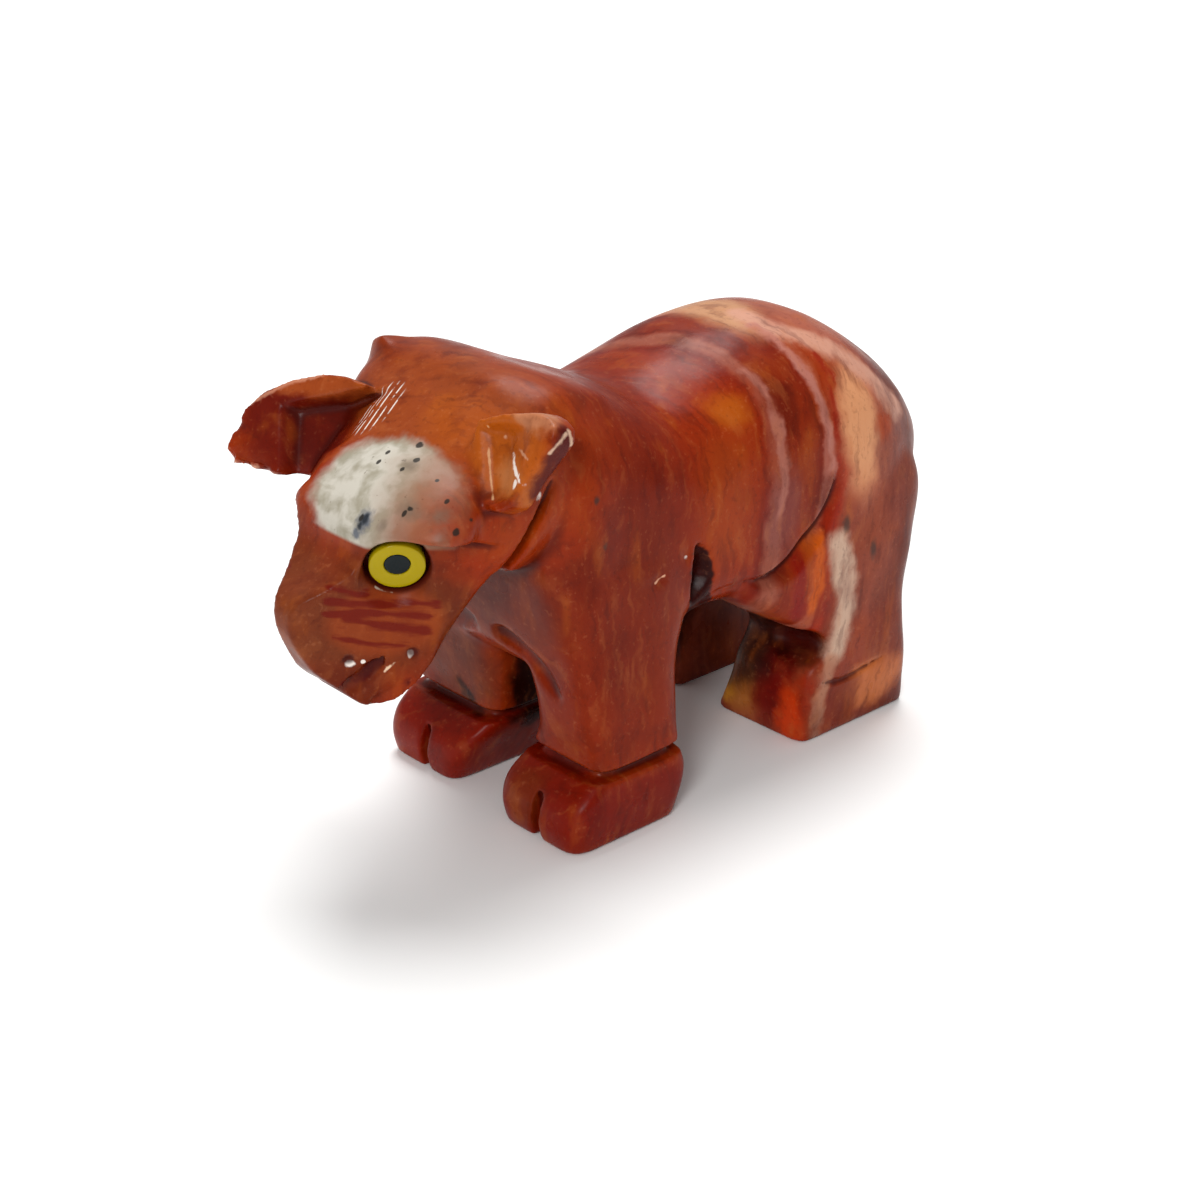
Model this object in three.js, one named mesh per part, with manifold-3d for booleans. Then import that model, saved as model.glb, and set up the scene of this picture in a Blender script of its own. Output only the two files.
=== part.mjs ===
// A small polished soapstone calf, carved from one piece of banded stone, with two-tone inlaid eyes.
// Millimetres, +Z up. The animal faces -Y and its left side is +X. The origin is on the ground,
// under the middle of its bounding box.
import * as THREE from 'three';
import { mergeVertices } from 'three/addons/utils/BufferGeometryUtils.js';
import Module from 'manifold-3d';

const wasm = await Module();
wasm.setup();

// Trunk, as lines along Y: [y, value].
const BACK_LINE = [[-17.4, 28.6], [-16.6, 29.7], [-12.5, 29.6], [-9, 28.4], [-6.3, 27.4], [-3, 28.3],
  [1, 29.6],
  [6.5, 30.1], [10, 29.5], [13.5, 27.6], [16.4, 25.2], [18.4, 22.5], [19.6, 19.8]];
const BELLY_LINE = [[-17.4, 17.5], [-16.5, 12.6], [-15.4, 10.9], [-12, 10.6], [-8.5, 11.6], [-6, 12.5],
  [-3, 12.6], [0, 12.1], [5, 10.8], [9, 9.5], [14, 9.2], [18, 10.6], [19.6, 14.0]];
const TRUNK_HALF_WIDTH = [[-17.4, 7.2], [-16.4, 8.6], [-12, 9.1], [-8, 9.2], [-3, 9.3], [4, 9.5], [10, 9.6],
  [14, 8.9], [17, 7.5], [18.9, 5.4], [19.6, 3.0]];
const WIDEST_HEIGHT = 19.5;
const BACK_ROUNDNESS = [[-17.4, 3.4], [-10, 2.7], [-3, 2.3], [19.6, 2.3]];
const BELLY_ROUNDNESS = 5.5;
// The short tail lies on the rump: points of its middle line [y, z], with its half width and height.
const TAIL = { line: [[15.0, 25.8], [16.7, 24.8], [18.0, 23.4], [18.9, 21.8],
  [19.4, 19.6]], width: 1.2, height: 0.8 };

// Legs, as lines up Z: [z, value]. Front and back are Y, inner and outer are distances from the middle.
const HOOF_HEIGHT = 5.0;
const LEG_TOP = 24;
const FRONT_LEG = {
  front: [[0, -17.6], [1.6, -17.9], [3.4, -17.3], [HOOF_HEIGHT, -15.7], [8, -15.8], [12, -16.2], [16, -16.8],
    [20, -16.6], [LEG_TOP, -13.0]],
  back: [[0, -8.2], [3.5, -7.5], [HOOF_HEIGHT, -7.9], [9, -7.8], [11.6, -7.4], [13.8, -6.5], [19, -6.3],
    [LEG_TOP, -7.5]],
  inner: [[0, 2.5], [3, 2.3], [HOOF_HEIGHT, 2.8], [8, 3.6], [12, 2.6], [LEG_TOP, 2]],
  outer: [[0, 10.1], [3, 10.5], [HOOF_HEIGHT, 10.3], [9, 9.9], [14, 9.5], [19, 9.0], [LEG_TOP, 6.0]],
  roundness: [[0, 7.5], [HOOF_HEIGHT, 6.5], [10, 5], [LEG_TOP, 5]],
};
const REAR_LEG = {
  front: [[0, 4.7], [3.6, 4.7], [HOOF_HEIGHT, 4.8], [6.2, 5.4], [7.1, 5.8], [7.9, 5.5], [8.6, 4.7],
    [9.3, 3.7],
    [10, 2.5], [11, 0.8], [12.5, -1.2], [14, -2.0], [16, 0], [20, 5.5], [LEG_TOP, 8]],
  back: [[0, 16.1], [HOOF_HEIGHT, 15.6], [9, 15.5], [13, 16.5], [17, 17.0], [20, 15.8], [LEG_TOP, 12.4]],
  inner: [[0, 0.3], [3.4, 1.5], [5.8, 1.9], [8, 1.8], [LEG_TOP, 2]],
  outer: [[0, 9.1], [HOOF_HEIGHT, 9.6], [9, 9.6], [14, 9.7], [19, 9.2], [LEG_TOP, 6.6]],
  roundness: [[0, 14], [HOOF_HEIGHT, 9], [9, 6], [LEG_TOP, 5]],
};
// The right legs stand a little differently inside. Only the front hooves are cleft, so far from the middle.
const RIGHT_FRONT_INNER = [[0, 3.1], [1.7, 2.3], [HOOF_HEIGHT, 0.9], [9, 0.6], [12, 0.6], [LEG_TOP, 2]];
const RIGHT_REAR_INNER = [[0, 3.4], [HOOF_HEIGHT, 3.8], [LEG_TOP, 4.3]];
const LEGS = [
  { line: FRONT_LEG, side: 1, outward: 0, back: 0, cleft: 6.3 },
  { line: { ...FRONT_LEG, inner: RIGHT_FRONT_INNER }, side: -1, outward: 0.1, back: 0.5, cleft: 6.1 },
  { line: REAR_LEG, side: 1, outward: 0, back: 0 },
  { line: { ...REAR_LEG, inner: RIGHT_REAR_INNER }, side: -1, outward: 0.3, back: 0 },
];
// The groove over a front hoof, the box it runs round in, and the cleft at the middle of its toe.
const HOOF_GROOVE = { width: 0.75, depth: 0.7, across: 20, from: -19.5, to: -5.5 };
const HOOF_CLEFT = { width: 0.7, depth: 1.1, height: 3.3, toeHeight: 1.6 };
const REAR_GROOVE = { width: 0.6, depth: 0.6, fade: 0.8,
  path: [[9.6, 5.6, 4.8], [9.75, 7.0, 4.4], [9.8, 8.5, 4.2], [9.8, 11.2, 4.5], [9.8, 13.3, 5.0]] };
// The hollow above the front of each rear foot.
const FOOT_HOLLOW = { centre: [7.7, 4.4, 7.3], radii: [3.6, 2.5, 1.6] };

// Head, in its own frame: s runs down the face from HEAD_ORIGIN, b runs out through the forehead.
const HEAD_ORIGIN = new THREE.Vector3(0, -18, 24.1);
const HEAD_PITCH = 46 * Math.PI / 180;
const MUZZLE_END = 15.8;
const NAPE_END = -8;
const FACE_LINE = [[NAPE_END, -0.6], [-6.8, 2.2], [-5.4, 3.8], [-3, 4.6], [1, 5.6], [5, 6.4], [7, 6.6],
  [9.5, 5.5],
  [11.4, 5.7], [13.2, 6.1], [14.4, 5.4], [15.2, 3.9], [MUZZLE_END, 2.0]];
const JAW_LINE = [[NAPE_END, -3.2], [-5, -4.6], [2, -4.6], [6, -3.7], [9, -3.1], [12, -3.3], [14.2, -3.4],
  [MUZZLE_END, -2.2]];
const HEAD_HALF_WIDTH = [[NAPE_END, 5.8], [-4, 7.9], [1, 8.4], [4, 7.7], [6.5, 6.3], [9.5, 5.2], [11.5, 5.05],
  [13.8, 4.7], [MUZZLE_END, 3.3]];
// The nape is squarer and wider on the animal's right than on its left.
const NAPE_CORNER = [[NAPE_END, 2.2], [-3, 1.9], [1, 0.4], [4, 0], [MUZZLE_END, 0]];
const HEAD_ROUNDNESS_LEFT = [[NAPE_END, 2.4], [0, 2.7], [5, 3.0], [8, 4.6], [12, 4.6], [MUZZLE_END, 3.2]];
const HEAD_ROUNDNESS_RIGHT = [[NAPE_END, 5.0], [-2, 4.2], [3, 2.8], [5, 3.0], [8, 4.6], [12, 4.6],
  [MUZZLE_END, 3.2]];
// Each cheek is filed flat: the plane's normal and distance, and the outline filed, as [y, z].
const CHEEK_NORMAL = new THREE.Vector3(0.858, -0.495, -0.139).normalize();
const CHEEK_DISTANCE = 13.97;
const CHEEK_OUTLINE = [[-32, 22.0], [-28.4, 22.4], [-26.6, 23.2], [-24.4, 23.0], [-22, 22.3], [-18, 21.0],
  [-18, 2], [-32, 2]];
// The space under the jaw, seen from the side as [y, z], and the slit between the head and the neck.
const THROAT = [[-21.1, 19.9], [-24.0, 14.2], [-25.4, 12.3], [-26.6, 11.3], [-26.6, 8.0], [-18.0, 8.0],
  [-18.0, 17.0], [-18.6, 19.4]];
const NECK_SLIT = { width: 0.9, depth: 1.5,
  path: [[7.2, -20.7, 19.2], [8.2, -19.7, 21.3], [8.9, -18.7, 23.3], [9.6, -17.7, 25.2]] };
// The boss over the left brow, its centre and radii in [x, s, b], and the height of its flat lower edge.
const BOSS = { centre: [1.7, 5.6, 3.9], radii: [6.8, 5.3, 3.0], edge: 22.8 };
// A square corner of the poll, behind the right ear: its front face and the thickness behind that.
const POLL = { thickness: 1.8, face: [[-5.0, -18.9, 29.5], [-7.2, -18.2, 30.4], [-8.6, -17.9, 30.9],
  [-9.9, -17.4, 30.2], [-10.1, -18.0, 27.6], [-5.0, -19.4, 27.6]] };

// Ears: corners of the front face, seen from the front, and the thickness behind it. The hollow of each ear
// has its mouth just in front of that face and its floor behind it.
const LEFT_EAR = { thickness: 1.9,
  face: [[5.4, -21.0, 29.2], [7.1, -20.6, 29.9], [8.8, -20.3, 30.3], [10.1, -20.1, 30.6],
    [10.9, -20.2, 30.5],
    [11.6, -20.3, 30.1], [11.75, -20.6, 29.4], [11.1, -21.0, 28.2], [10.4, -21.4, 27.0], [10.0, -21.7, 26.1],
    [9.5, -22.0, 25.1], [8.6, -22.3, 24.7], [5.4, -22.6, 24.6]],
  mouth: [[5.1, -21.3, 29.1], [8.2, -20.8, 29.9], [10.3, -20.6, 30.2], [10.8, -21.0, 29.0],
    [10.6, -21.5, 27.4],
    [9.9, -22.1, 25.6], [8.4, -22.5, 24.8], [7.2, -22.6, 25.0]],
  floor: [[6.3, -20.5, 28.6], [7.1, -20.3, 28.8], [7.5, -20.2, 28.6], [7.7, -20.3, 28.2], [7.9, -20.6, 27.3],
    [8.4, -21.4, 25.5], [8.2, -21.6, 25.2], [7.8, -21.6, 25.3]] };
const RIGHT_EAR = { thickness: 2.8,
  face: [[-5.0, -21.3, 29.0], [-6.8, -21.7, 29.2], [-8.4, -22.3, 29.1], [-10.4, -23.3, 28.5],
    [-12.1, -24.4, 27.5],
    [-13.0, -25.4, 26.3], [-13.2, -26.4, 24.8], [-13.1, -27.0, 24.0], [-12.1, -27.1, 23.3],
    [-10.3, -26.6, 23.3],
    [-8.1, -26.0, 23.0], [-6.6, -25.6, 23.0], [-5.0, -25.2, 23.1]],
  mouth: [[-10.7, -24.5, 27.2], [-6.6, -22.4, 28.5], [-3.4, -20.9, 29.5], [-2.3, -20.4, 29.5],
    [-2.6, -22.0, 28.2],
    [-2.9, -23.8, 26.8], [-4.0, -25.1, 25.7], [-4.4, -26.9, 23.6], [-8.3, -26.1, 23.1]],
  floor: [[-9.9, -23.2, 26.4], [-6.9, -20.9, 27.1], [-5.7, -20.3, 27.8], [-5.6, -20.3, 27.6],
    [-6.2, -21.2, 26.9],
    [-6.9, -22.2, 25.6], [-7.4, -23.3, 24.2], [-7.6, -24.6, 22.6], [-8.0, -25.0, 22.6]] };

// The notch filed behind each elbow: its corners as [y, z], and how far out it starts and ends. Inside it is
// drawn in to the given share of its size, round a point that much further forward than its middle.
const ELBOW_NOTCH = { inside: 7.2, outside: 9.6, share: 0.25, forward: 1.0,
  corners: [[-6.3, 18.9], [-5.7, 18.8], [-5.1, 18.2], [-4.4, 15.8], [-5.1, 14.5], [-6.5, 13.0],
    [-6.6, 16.0]] };
// The crease under the barrel, as [y, z, depth], and the section cut there: how far down and how far out.
const FLANK_CREASE = [[-6.6, 14.2, 0.9], [-4.3, 14.9, 0.9], [-2, 15.0, 0.8], [0, 14.8, 0.8],
  [1.9, 15.4, 0.9],
  [3.3, 16.4, 0.9], [4.7, 17.4, 0.75], [5.9, 19.0, 0.5], [6.6, 20.8, 0.1]];
const CREASE_SECTION = [[0, 3], [0, 0.1], [0.45, -1], [1.7, 0.1], [1.7, 3]];
const CREASE_SKIN = 9.55;
const CREASE_FULL_DEPTH = 0.8;
// File strokes along a path, as wide and deep as asked.
const MOUTH = { width: 0.65, depth: 0.7, path: [[3.2, -26.4, 15.0], [2.75, -27.1, 14.35], [2.1, -28.2, 13.2],
  [0.9, -28.8, 12.7], [-0.9, -28.8, 12.7], [-2.1, -28.2, 13.2], [-2.75, -27.1, 14.35], [-3.2, -26.4, 15.0]] };
const CHIN_STROKE = { width: 0.6, depth: 0.45,
  path: [[3.9, -25.5, 13.1], [3.4, -26.2, 12.6], [2.9, -26.8, 12.1], [2.2, -27.3, 11.6]] };
const CHEST_STROKE = { width: 2.0, depth: 0.8, fade: 0.5,
  path: [[0.9, -16.6, 12.7], [2.7, -16.6, 12.4], [4.8, -16.4, 11.3], [6.9, -16.2, 9.7]] };
// Pits in the muzzle, placed in [x, s, b].
const NOSTRIL = { radius: 0.5, place: [2.3, 14.1, 1.3] };
const LIP_DIMPLE = { radius: 0.45, place: [4.2, 11.7, -1.0] };

// Inlaid eyes, set a little askew in the cheeks, with the pupil a little above the middle.
const EYE_PLACE = new THREE.Vector3(4.17, -26.23, 21.0);
const EYE_NORMAL = new THREE.Vector3(0.763, -0.550, -0.340).normalize();
const SOCKET_RADIUS = 2.0;
const SOCKET_DEPTH = 1.1;
// The stone round each eye is pared back to a flare: how far out it reaches and its radius there.
const FLARE = { height: 3, radius: 4.4 };
const EYE_RADIUS = 1.68;
const EYE_PROUD = 0.15;
const PUPIL_RADIUS = 0.76;
const PUPIL_RISE = 0.2;
const UNDER_EYE = 0.3;
const ROUND_PUPIL = 0.1;

// Half the span of a cut that only has to reach past the stone.
const PAST = 20;

const STONE = { color: 0x8a3a1c, roughness: 0.35, metalness: 0 };
const YELLOW = { color: 0xb8a40c, roughness: 0.3, metalness: 0 };
const BLACK = { color: 0x151b20, roughness: 0.15, metalness: 0 };

const vectors = (points, side = 1) => points.map(([x, y, z]) => new THREE.Vector3(side * x, y, z));

const middleOf = (points) =>
  points.reduce((sum, point) => sum.add(point), new THREE.Vector3()).divideScalar(points.length);

// A smooth line through knots [position, value].
function line(knots) {
  const positions = knots.map((knot) => knot[0]);
  const curve = new THREE.CubicInterpolant(positions, knots.map((knot) => knot[1]), 1);
  const [first, last] = [positions[0], positions.at(-1)];
  return (t) => curve.evaluate(THREE.MathUtils.clamp(t, first, last))[0];
}

// One side of a superellipse of unit radius, for an angle's cosine or sine.
const rounded = (value, roundness) => Math.sign(value) * Math.abs(value) ** (2 / roundness);

// A closed skin over rows of points: each row is joined to the next, each end closed by a fan to its middle.
function skin(rows) {
  const sides = rows[0].length;
  const vertices = rows.flat().flatMap((point) => point.toArray());
  const faces = [];
  rows.forEach((row, i) => {
    for (let j = 0; j < sides && i < rows.length - 1; j += 1) {
      const next = (j + 1) % sides;
      const [a, b, c, d] = [i * sides + j, i * sides + next, (i + 1) * sides + next, (i + 1) * sides + j];
      faces.push(a, b, c, a, c, d);
    }
  });
  for (const i of [0, rows.length - 1]) {
    const centre = vertices.length / 3;
    vertices.push(...middleOf(rows[i]).toArray());
    for (let j = 0; j < sides; j += 1) {
      const [a, b] = [i * sides + j, i * sides + (j + 1) % sides];
      faces.push(...(i === 0 ? [centre, b, a] : [centre, a, b]));
    }
  }
  const geometry = new THREE.BufferGeometry();
  geometry.setAttribute('position', new THREE.Float32BufferAttribute(vertices, 3));
  geometry.setIndex(faces);
  return geometry;
}

// Rings of points(step along, turn around), as a closed skin.
function loft(rings, sides, point) {
  return skin(Array.from({ length: rings + 1 }, (_, i) =>
    Array.from({ length: sides }, (__, j) => point(i / rings, 2 * Math.PI * j / sides))));
}

// A closed geometry as a solid that can be joined and cut. A shape that came out inside out is turned.
function solid(geometry) {
  const bare = geometry.clone();
  bare.deleteAttribute('normal');
  bare.deleteAttribute('uv');
  const merged = mergeVertices(bare, 1e-4);
  const vertProperties = new Float32Array(merged.attributes.position.array);
  const triVerts = new Uint32Array(merged.index.array);
  let volume = 0;
  const corner = (k) => new THREE.Vector3().fromArray(vertProperties, 3 * triVerts[k]);
  for (let k = 0; k < triVerts.length; k += 3) volume += corner(k).dot(corner(k + 1).cross(corner(k + 2)));
  for (let k = 0; volume < 0 && k < triVerts.length; k += 3) {
    [triVerts[k], triVerts[k + 1]] = [triVerts[k + 1], triVerts[k]];
  }
  return new wasm.Manifold(new wasm.Mesh({ numProp: 3, vertProperties, triVerts }));
}

function toGeometry(manifold) {
  const mesh = manifold.getMesh();
  const geometry = new THREE.BufferGeometry();
  geometry.setAttribute('position', new THREE.BufferAttribute(new Float32Array(mesh.vertProperties), 3));
  geometry.setIndex(new THREE.BufferAttribute(new Uint32Array(mesh.triVerts), 1));
  geometry.computeVertexNormals();
  return geometry;
}

// A flat outline carried along a straight way.
function prism(corners, way) {
  return skin([corners, corners.map((corner) => corner.clone().add(way))]);
}

function ellipsoid(centre, radii, columns = 16, rows = 10) {
  return new THREE.SphereGeometry(1, columns, rows).scale(...radii).translate(...centre);
}

// A file stroke: an oval section carried along a path, set square to the outward direction, and narrowing
// towards its ends by the share given.
function stroke({ path, width, depth, fade = 0 }, side, out) {
  const points = vectors(path, side);
  return skin(points.map((point, i) => {
    const [before, after] = [points[Math.max(i - 1, 0)], points[Math.min(i + 1, points.length - 1)]];
    const along = after.clone().sub(before).normalize();
    const across = along.clone().cross(out).normalize();
    const up = across.clone().cross(along);
    const full = 1 - fade * Math.abs(2 * i / (points.length - 1) - 1) ** 3;
    return Array.from({ length: 6 }, (_, j) => point.clone()
      .addScaledVector(across, full * width / 2 * Math.cos(Math.PI * j / 3))
      .addScaledVector(up, full * depth * Math.sin(Math.PI * j / 3)));
  }));
}

// The trunk with the neck and chest: superellipse sections carried along Y.
function trunk() {
  const [back, belly, half, round] = [BACK_LINE, BELLY_LINE, TRUNK_HALF_WIDTH, BACK_ROUNDNESS].map(line);
  const [start, end] = [BACK_LINE[0][0], BACK_LINE.at(-1)[0]];
  return loft(32, 30, (t, turn) => {
    const y = THREE.MathUtils.lerp(start, end, t);
    const roundness = Math.sin(turn) > 0 ? round(y) : BELLY_ROUNDNESS;
    const across = rounded(Math.cos(turn), roundness);
    const up = rounded(Math.sin(turn), roundness);
    const reach = up > 0 ? back(y) - WIDEST_HEIGHT : WIDEST_HEIGHT - belly(y);
    return new THREE.Vector3(half(y) * across, y, WIDEST_HEIGHT + reach * up);
  });
}

// A leg: rounded rectangles carried up Z. A positive inset makes the thinner core of a groove.
function leg({ line: lines, side, outward, back }, inset = 0) {
  const [front, rear, inner, outer, round] =
    [lines.front, lines.back, lines.inner, lines.outer, lines.roundness].map(line);
  return loft(17, 17, (t, turn) => {
    const z = LEG_TOP * t;
    const [y0, y1, x0, x1] = [front(z) + back, rear(z), inner(z), outer(z) + outward];
    const across = rounded(Math.cos(turn), round(z));
    const along = rounded(Math.sin(turn), round(z));
    return new THREE.Vector3(
      side * ((x0 + x1) / 2 + across * ((x1 - x0) / 2 - inset)),
      (y0 + y1) / 2 + along * ((y1 - y0) / 2 - inset),
      z,
    );
  });
}

// A point of the head's own frame, in the object's frame.
function headPoint(x, s, b) {
  const [c, d] = [Math.cos(HEAD_PITCH), Math.sin(HEAD_PITCH)];
  return new THREE.Vector3(x, -s * c - b * d, -s * d + b * c).add(HEAD_ORIGIN);
}

function head() {
  const [face, jaw, half] = [FACE_LINE, JAW_LINE, HEAD_HALF_WIDTH].map(line);
  const [left, right, corner] = [HEAD_ROUNDNESS_LEFT, HEAD_ROUNDNESS_RIGHT, NAPE_CORNER].map(line);
  return loft(26, 26, (t, turn) => {
    const s = THREE.MathUtils.lerp(NAPE_END, MUZZLE_END, t);
    const roundness = Math.cos(turn) > 0 ? left(s) : right(s);
    const across = rounded(Math.cos(turn), roundness);
    const out = rounded(Math.sin(turn), roundness);
    const [front, under] = [face(s), jaw(s)];
    const width = half(s) + (across < 0 ? corner(s) : 0);
    return headPoint(width * across, s, (front + under) / 2 + out * (front - under) / 2);
  });
}

// A prism behind a flat face given by its corners, as thick as asked, towards the animal's rear.
function slab({ face, thickness }) {
  const corners = vectors(face);
  const middle = middleOf(corners);
  const normal = new THREE.Vector3();
  corners.forEach((corner, i) => {
    const next = corners[(i + 1) % corners.length];
    normal.add(corner.clone().sub(middle).cross(next.clone().sub(middle)));
  });
  normal.normalize().multiplyScalar(normal.y < 0 ? -1 : 1);
  const flat = corners.map((corner) =>
    corner.clone().addScaledVector(normal, -corner.clone().sub(middle).dot(normal)));
  return prism(flat, normal.multiplyScalar(thickness));
}

// The boss over the brow: an ellipsoid in the head's frame, cut off flat at its lower edge.
function boss() {
  const [s, b] = [[0, 1, 0], [0, 0, 1]].map((axis) => headPoint(...axis).sub(HEAD_ORIGIN));
  const ball = ellipsoid([0, 0, 0], BOSS.radii, 16, 9);
  ball.applyMatrix4(new THREE.Matrix4().makeBasis(new THREE.Vector3(1, 0, 0), s, b)
    .setPosition(headPoint(...BOSS.centre)));
  const under = new THREE.BoxGeometry(2 * PAST, 2 * PAST, PAST)
    .translate(0, HEAD_ORIGIN.y, BOSS.edge - PAST / 2);
  return solid(ball).subtract(solid(under));
}

// The point of a cheek's plane at that y and z.
function onCheek(side, [y, z]) {
  const x = (CHEEK_DISTANCE - CHEEK_NORMAL.y * y - CHEEK_NORMAL.z * z) / CHEEK_NORMAL.x;
  return new THREE.Vector3(side * x, y, z);
}

// A notch drawn in from the skin to its inside.
function notch({ corners, inside, outside, share, forward }, side) {
  const middle = middleOf(vectors(corners.map(([y, z]) => [0, y, z])));
  middle.y -= forward;
  return skin([[inside, share], [outside, 1]].map(([x, scale]) => corners.map(([y, z]) =>
    new THREE.Vector3(0, y, z).sub(middle).multiplyScalar(scale).add(middle).setX(side * x))));
}

// The crease: a section with a steep wall above and a long one below, carried along the flank.
function crease(side) {
  const steps = FLANK_CREASE.map((_, i) => i / (FLANK_CREASE.length - 1));
  const [y, z, deep] = [0, 1, 2].map((k) => line(steps.map((step, i) => [step, FLANK_CREASE[i][k]])));
  const rows = Array.from({ length: 11 }, (_, i) => i / 10);
  return skin(rows.map((t) => {
    const [before, after] = [Math.max(t - 0.02, 0), Math.min(t + 0.02, 1)];
    const way = new THREE.Vector2(y(after) - y(before), z(after) - z(before)).normalize();
    return CREASE_SECTION.map(([run, rise]) => {
      const down = run * Math.min(1, deep(t) / CREASE_FULL_DEPTH);
      const x = CREASE_SKIN + (rise < 0 ? rise * deep(t) : rise);
      return new THREE.Vector3(side * x, y(t) + way.y * down, z(t) - way.x * down);
    });
  }));
}

// The tail: an oval section carried down the middle of the rump, drawn in at both ends.
function tail() {
  const path = new THREE.CatmullRomCurve3(TAIL.line.map(([y, z]) => new THREE.Vector3(0, y, z)));
  return loft(14, 12, (t, turn) => {
    const along = path.getTangentAt(t);
    const out = new THREE.Vector3(0, along.z, -along.y).negate();
    const full = Math.sqrt(Math.max(0.02, 1 - (2 * t - 1) ** 6));
    return path.getPointAt(t).addScaledVector(out, TAIL.height * full * Math.sin(turn))
      .add(new THREE.Vector3(TAIL.width * full * Math.cos(turn), 0, 0));
  });
}

const flats = [POLL, LEFT_EAR, RIGHT_EAR].map(slab);
let stone = boss();
for (const piece of [trunk(), head(), tail(), ...LEGS.map((one) => leg(one)), ...flats]) {
  stone = stone.add(solid(piece));
}
const cut = (...geometries) => {
  for (const geometry of geometries) stone = stone.subtract(solid(geometry));
};

cut(prism(THROAT.map(([y, z]) => new THREE.Vector3(PAST, y, z)), new THREE.Vector3(-2 * PAST, 0, 0)));
for (const side of [1, -1]) {
  const outward = new THREE.Vector3(side, 0, 0);
  cut(prism(CHEEK_OUTLINE.map((spot) => onCheek(side, spot)), outward.clone().multiplyScalar(PAST)));
  cut(notch(ELBOW_NOTCH, side), crease(side));
  cut(stroke(NECK_SLIT, side, outward), stroke(REAR_GROOVE, side, outward));
  const [x, y, z] = FOOT_HOLLOW.centre;
  cut(ellipsoid([side * x, y, z], FOOT_HOLLOW.radii, 14, 8));
}

// The groove all round each front hoof, and the clefts.
for (const one of LEGS.filter((each) => each.cleft)) {
  const { width, depth, across, from, to } = HOOF_GROOVE;
  const ring = new THREE.BoxGeometry(across, to - from, width);
  ring.translate(one.side * across / 2, (from + to) / 2, HOOF_HEIGHT);
  stone = stone.subtract(solid(ring).subtract(solid(leg(one, depth))));
  const toe = line(one.line.front)(HOOF_CLEFT.toeHeight) + one.back;
  cut(new THREE.BoxGeometry(HOOF_CLEFT.width, 2 * HOOF_CLEFT.depth, 2 * HOOF_CLEFT.height)
    .translate(one.side * one.cleft, toe, 0));
}

// File strokes round the mouth and up the chest, the pits of the muzzle and the hollows of the ears.
const [UP, AHEAD] = [new THREE.Vector3(0, 0, 1), new THREE.Vector3(0, -1, 0)];
cut(stroke(MOUTH, 1, UP));
for (const side of [1, -1]) {
  cut(stroke(CHIN_STROKE, side, UP), stroke(CHEST_STROKE, side, AHEAD));
  for (const { radius, place: [x, s, b] } of [NOSTRIL, LIP_DIMPLE]) {
    cut(ellipsoid(headPoint(side * x, s, b).toArray(), [radius, radius, radius], 10, 6));
  }
}
for (const { mouth, floor } of [LEFT_EAR, RIGHT_EAR]) cut(skin([vectors(mouth), vectors(floor)]));

// Sockets for the eyes, and the eyes in them.
const figure = new THREE.Group();
const pieces = [];
for (const [side, word] of [[1, 'left'], [-1, 'right']]) {
  const flip = new THREE.Vector3(side, 1, 1);
  const normal = EYE_NORMAL.clone().multiply(flip);
  const across = UP.clone().cross(normal).normalize();
  const stand = new THREE.Matrix4().makeBasis(across, normal, across.clone().cross(normal))
    .setPosition(EYE_PLACE.clone().multiply(flip));
  const disc = (radius, low, high, sides, rise = 0, top = radius) =>
    new THREE.CylinderGeometry(top, radius, high - low, sides).translate(0, (low + high) / 2, -rise)
      .applyMatrix4(stand);
  cut(disc(SOCKET_RADIUS, -SOCKET_DEPTH, FLARE.height, 24));
  cut(disc(SOCKET_RADIUS, 0, FLARE.height, 16, 0, FLARE.radius));
  const low = -SOCKET_DEPTH + UNDER_EYE;
  const ring = solid(disc(EYE_RADIUS, low, EYE_PROUD, 24))
    .subtract(solid(disc(PUPIL_RADIUS + ROUND_PUPIL, -SOCKET_DEPTH, 1, 18, PUPIL_RISE)));
  pieces.push([`eye_${word}`, toGeometry(ring), YELLOW]);
  const core = solid(disc(PUPIL_RADIUS, low, EYE_PROUD, 18, PUPIL_RISE));
  pieces.push([`pupil_${word}`, toGeometry(core), BLACK]);
}
pieces.unshift(['stone_body', toGeometry(stone), STONE]);

// The finished figure stands on the ground, with the origin under the middle of its box.
const size = new THREE.Box3();
for (const [name, geometry, look] of pieces) {
  const mesh = new THREE.Mesh(geometry, new THREE.MeshStandardMaterial(look));
  mesh.name = name;
  geometry.computeBoundingBox();
  size.union(geometry.boundingBox);
  figure.add(mesh);
}
const middle = size.getCenter(new THREE.Vector3());
figure.position.set(-middle.x, -middle.y, -size.min.z);

export default figure;
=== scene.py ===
import math

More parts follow.
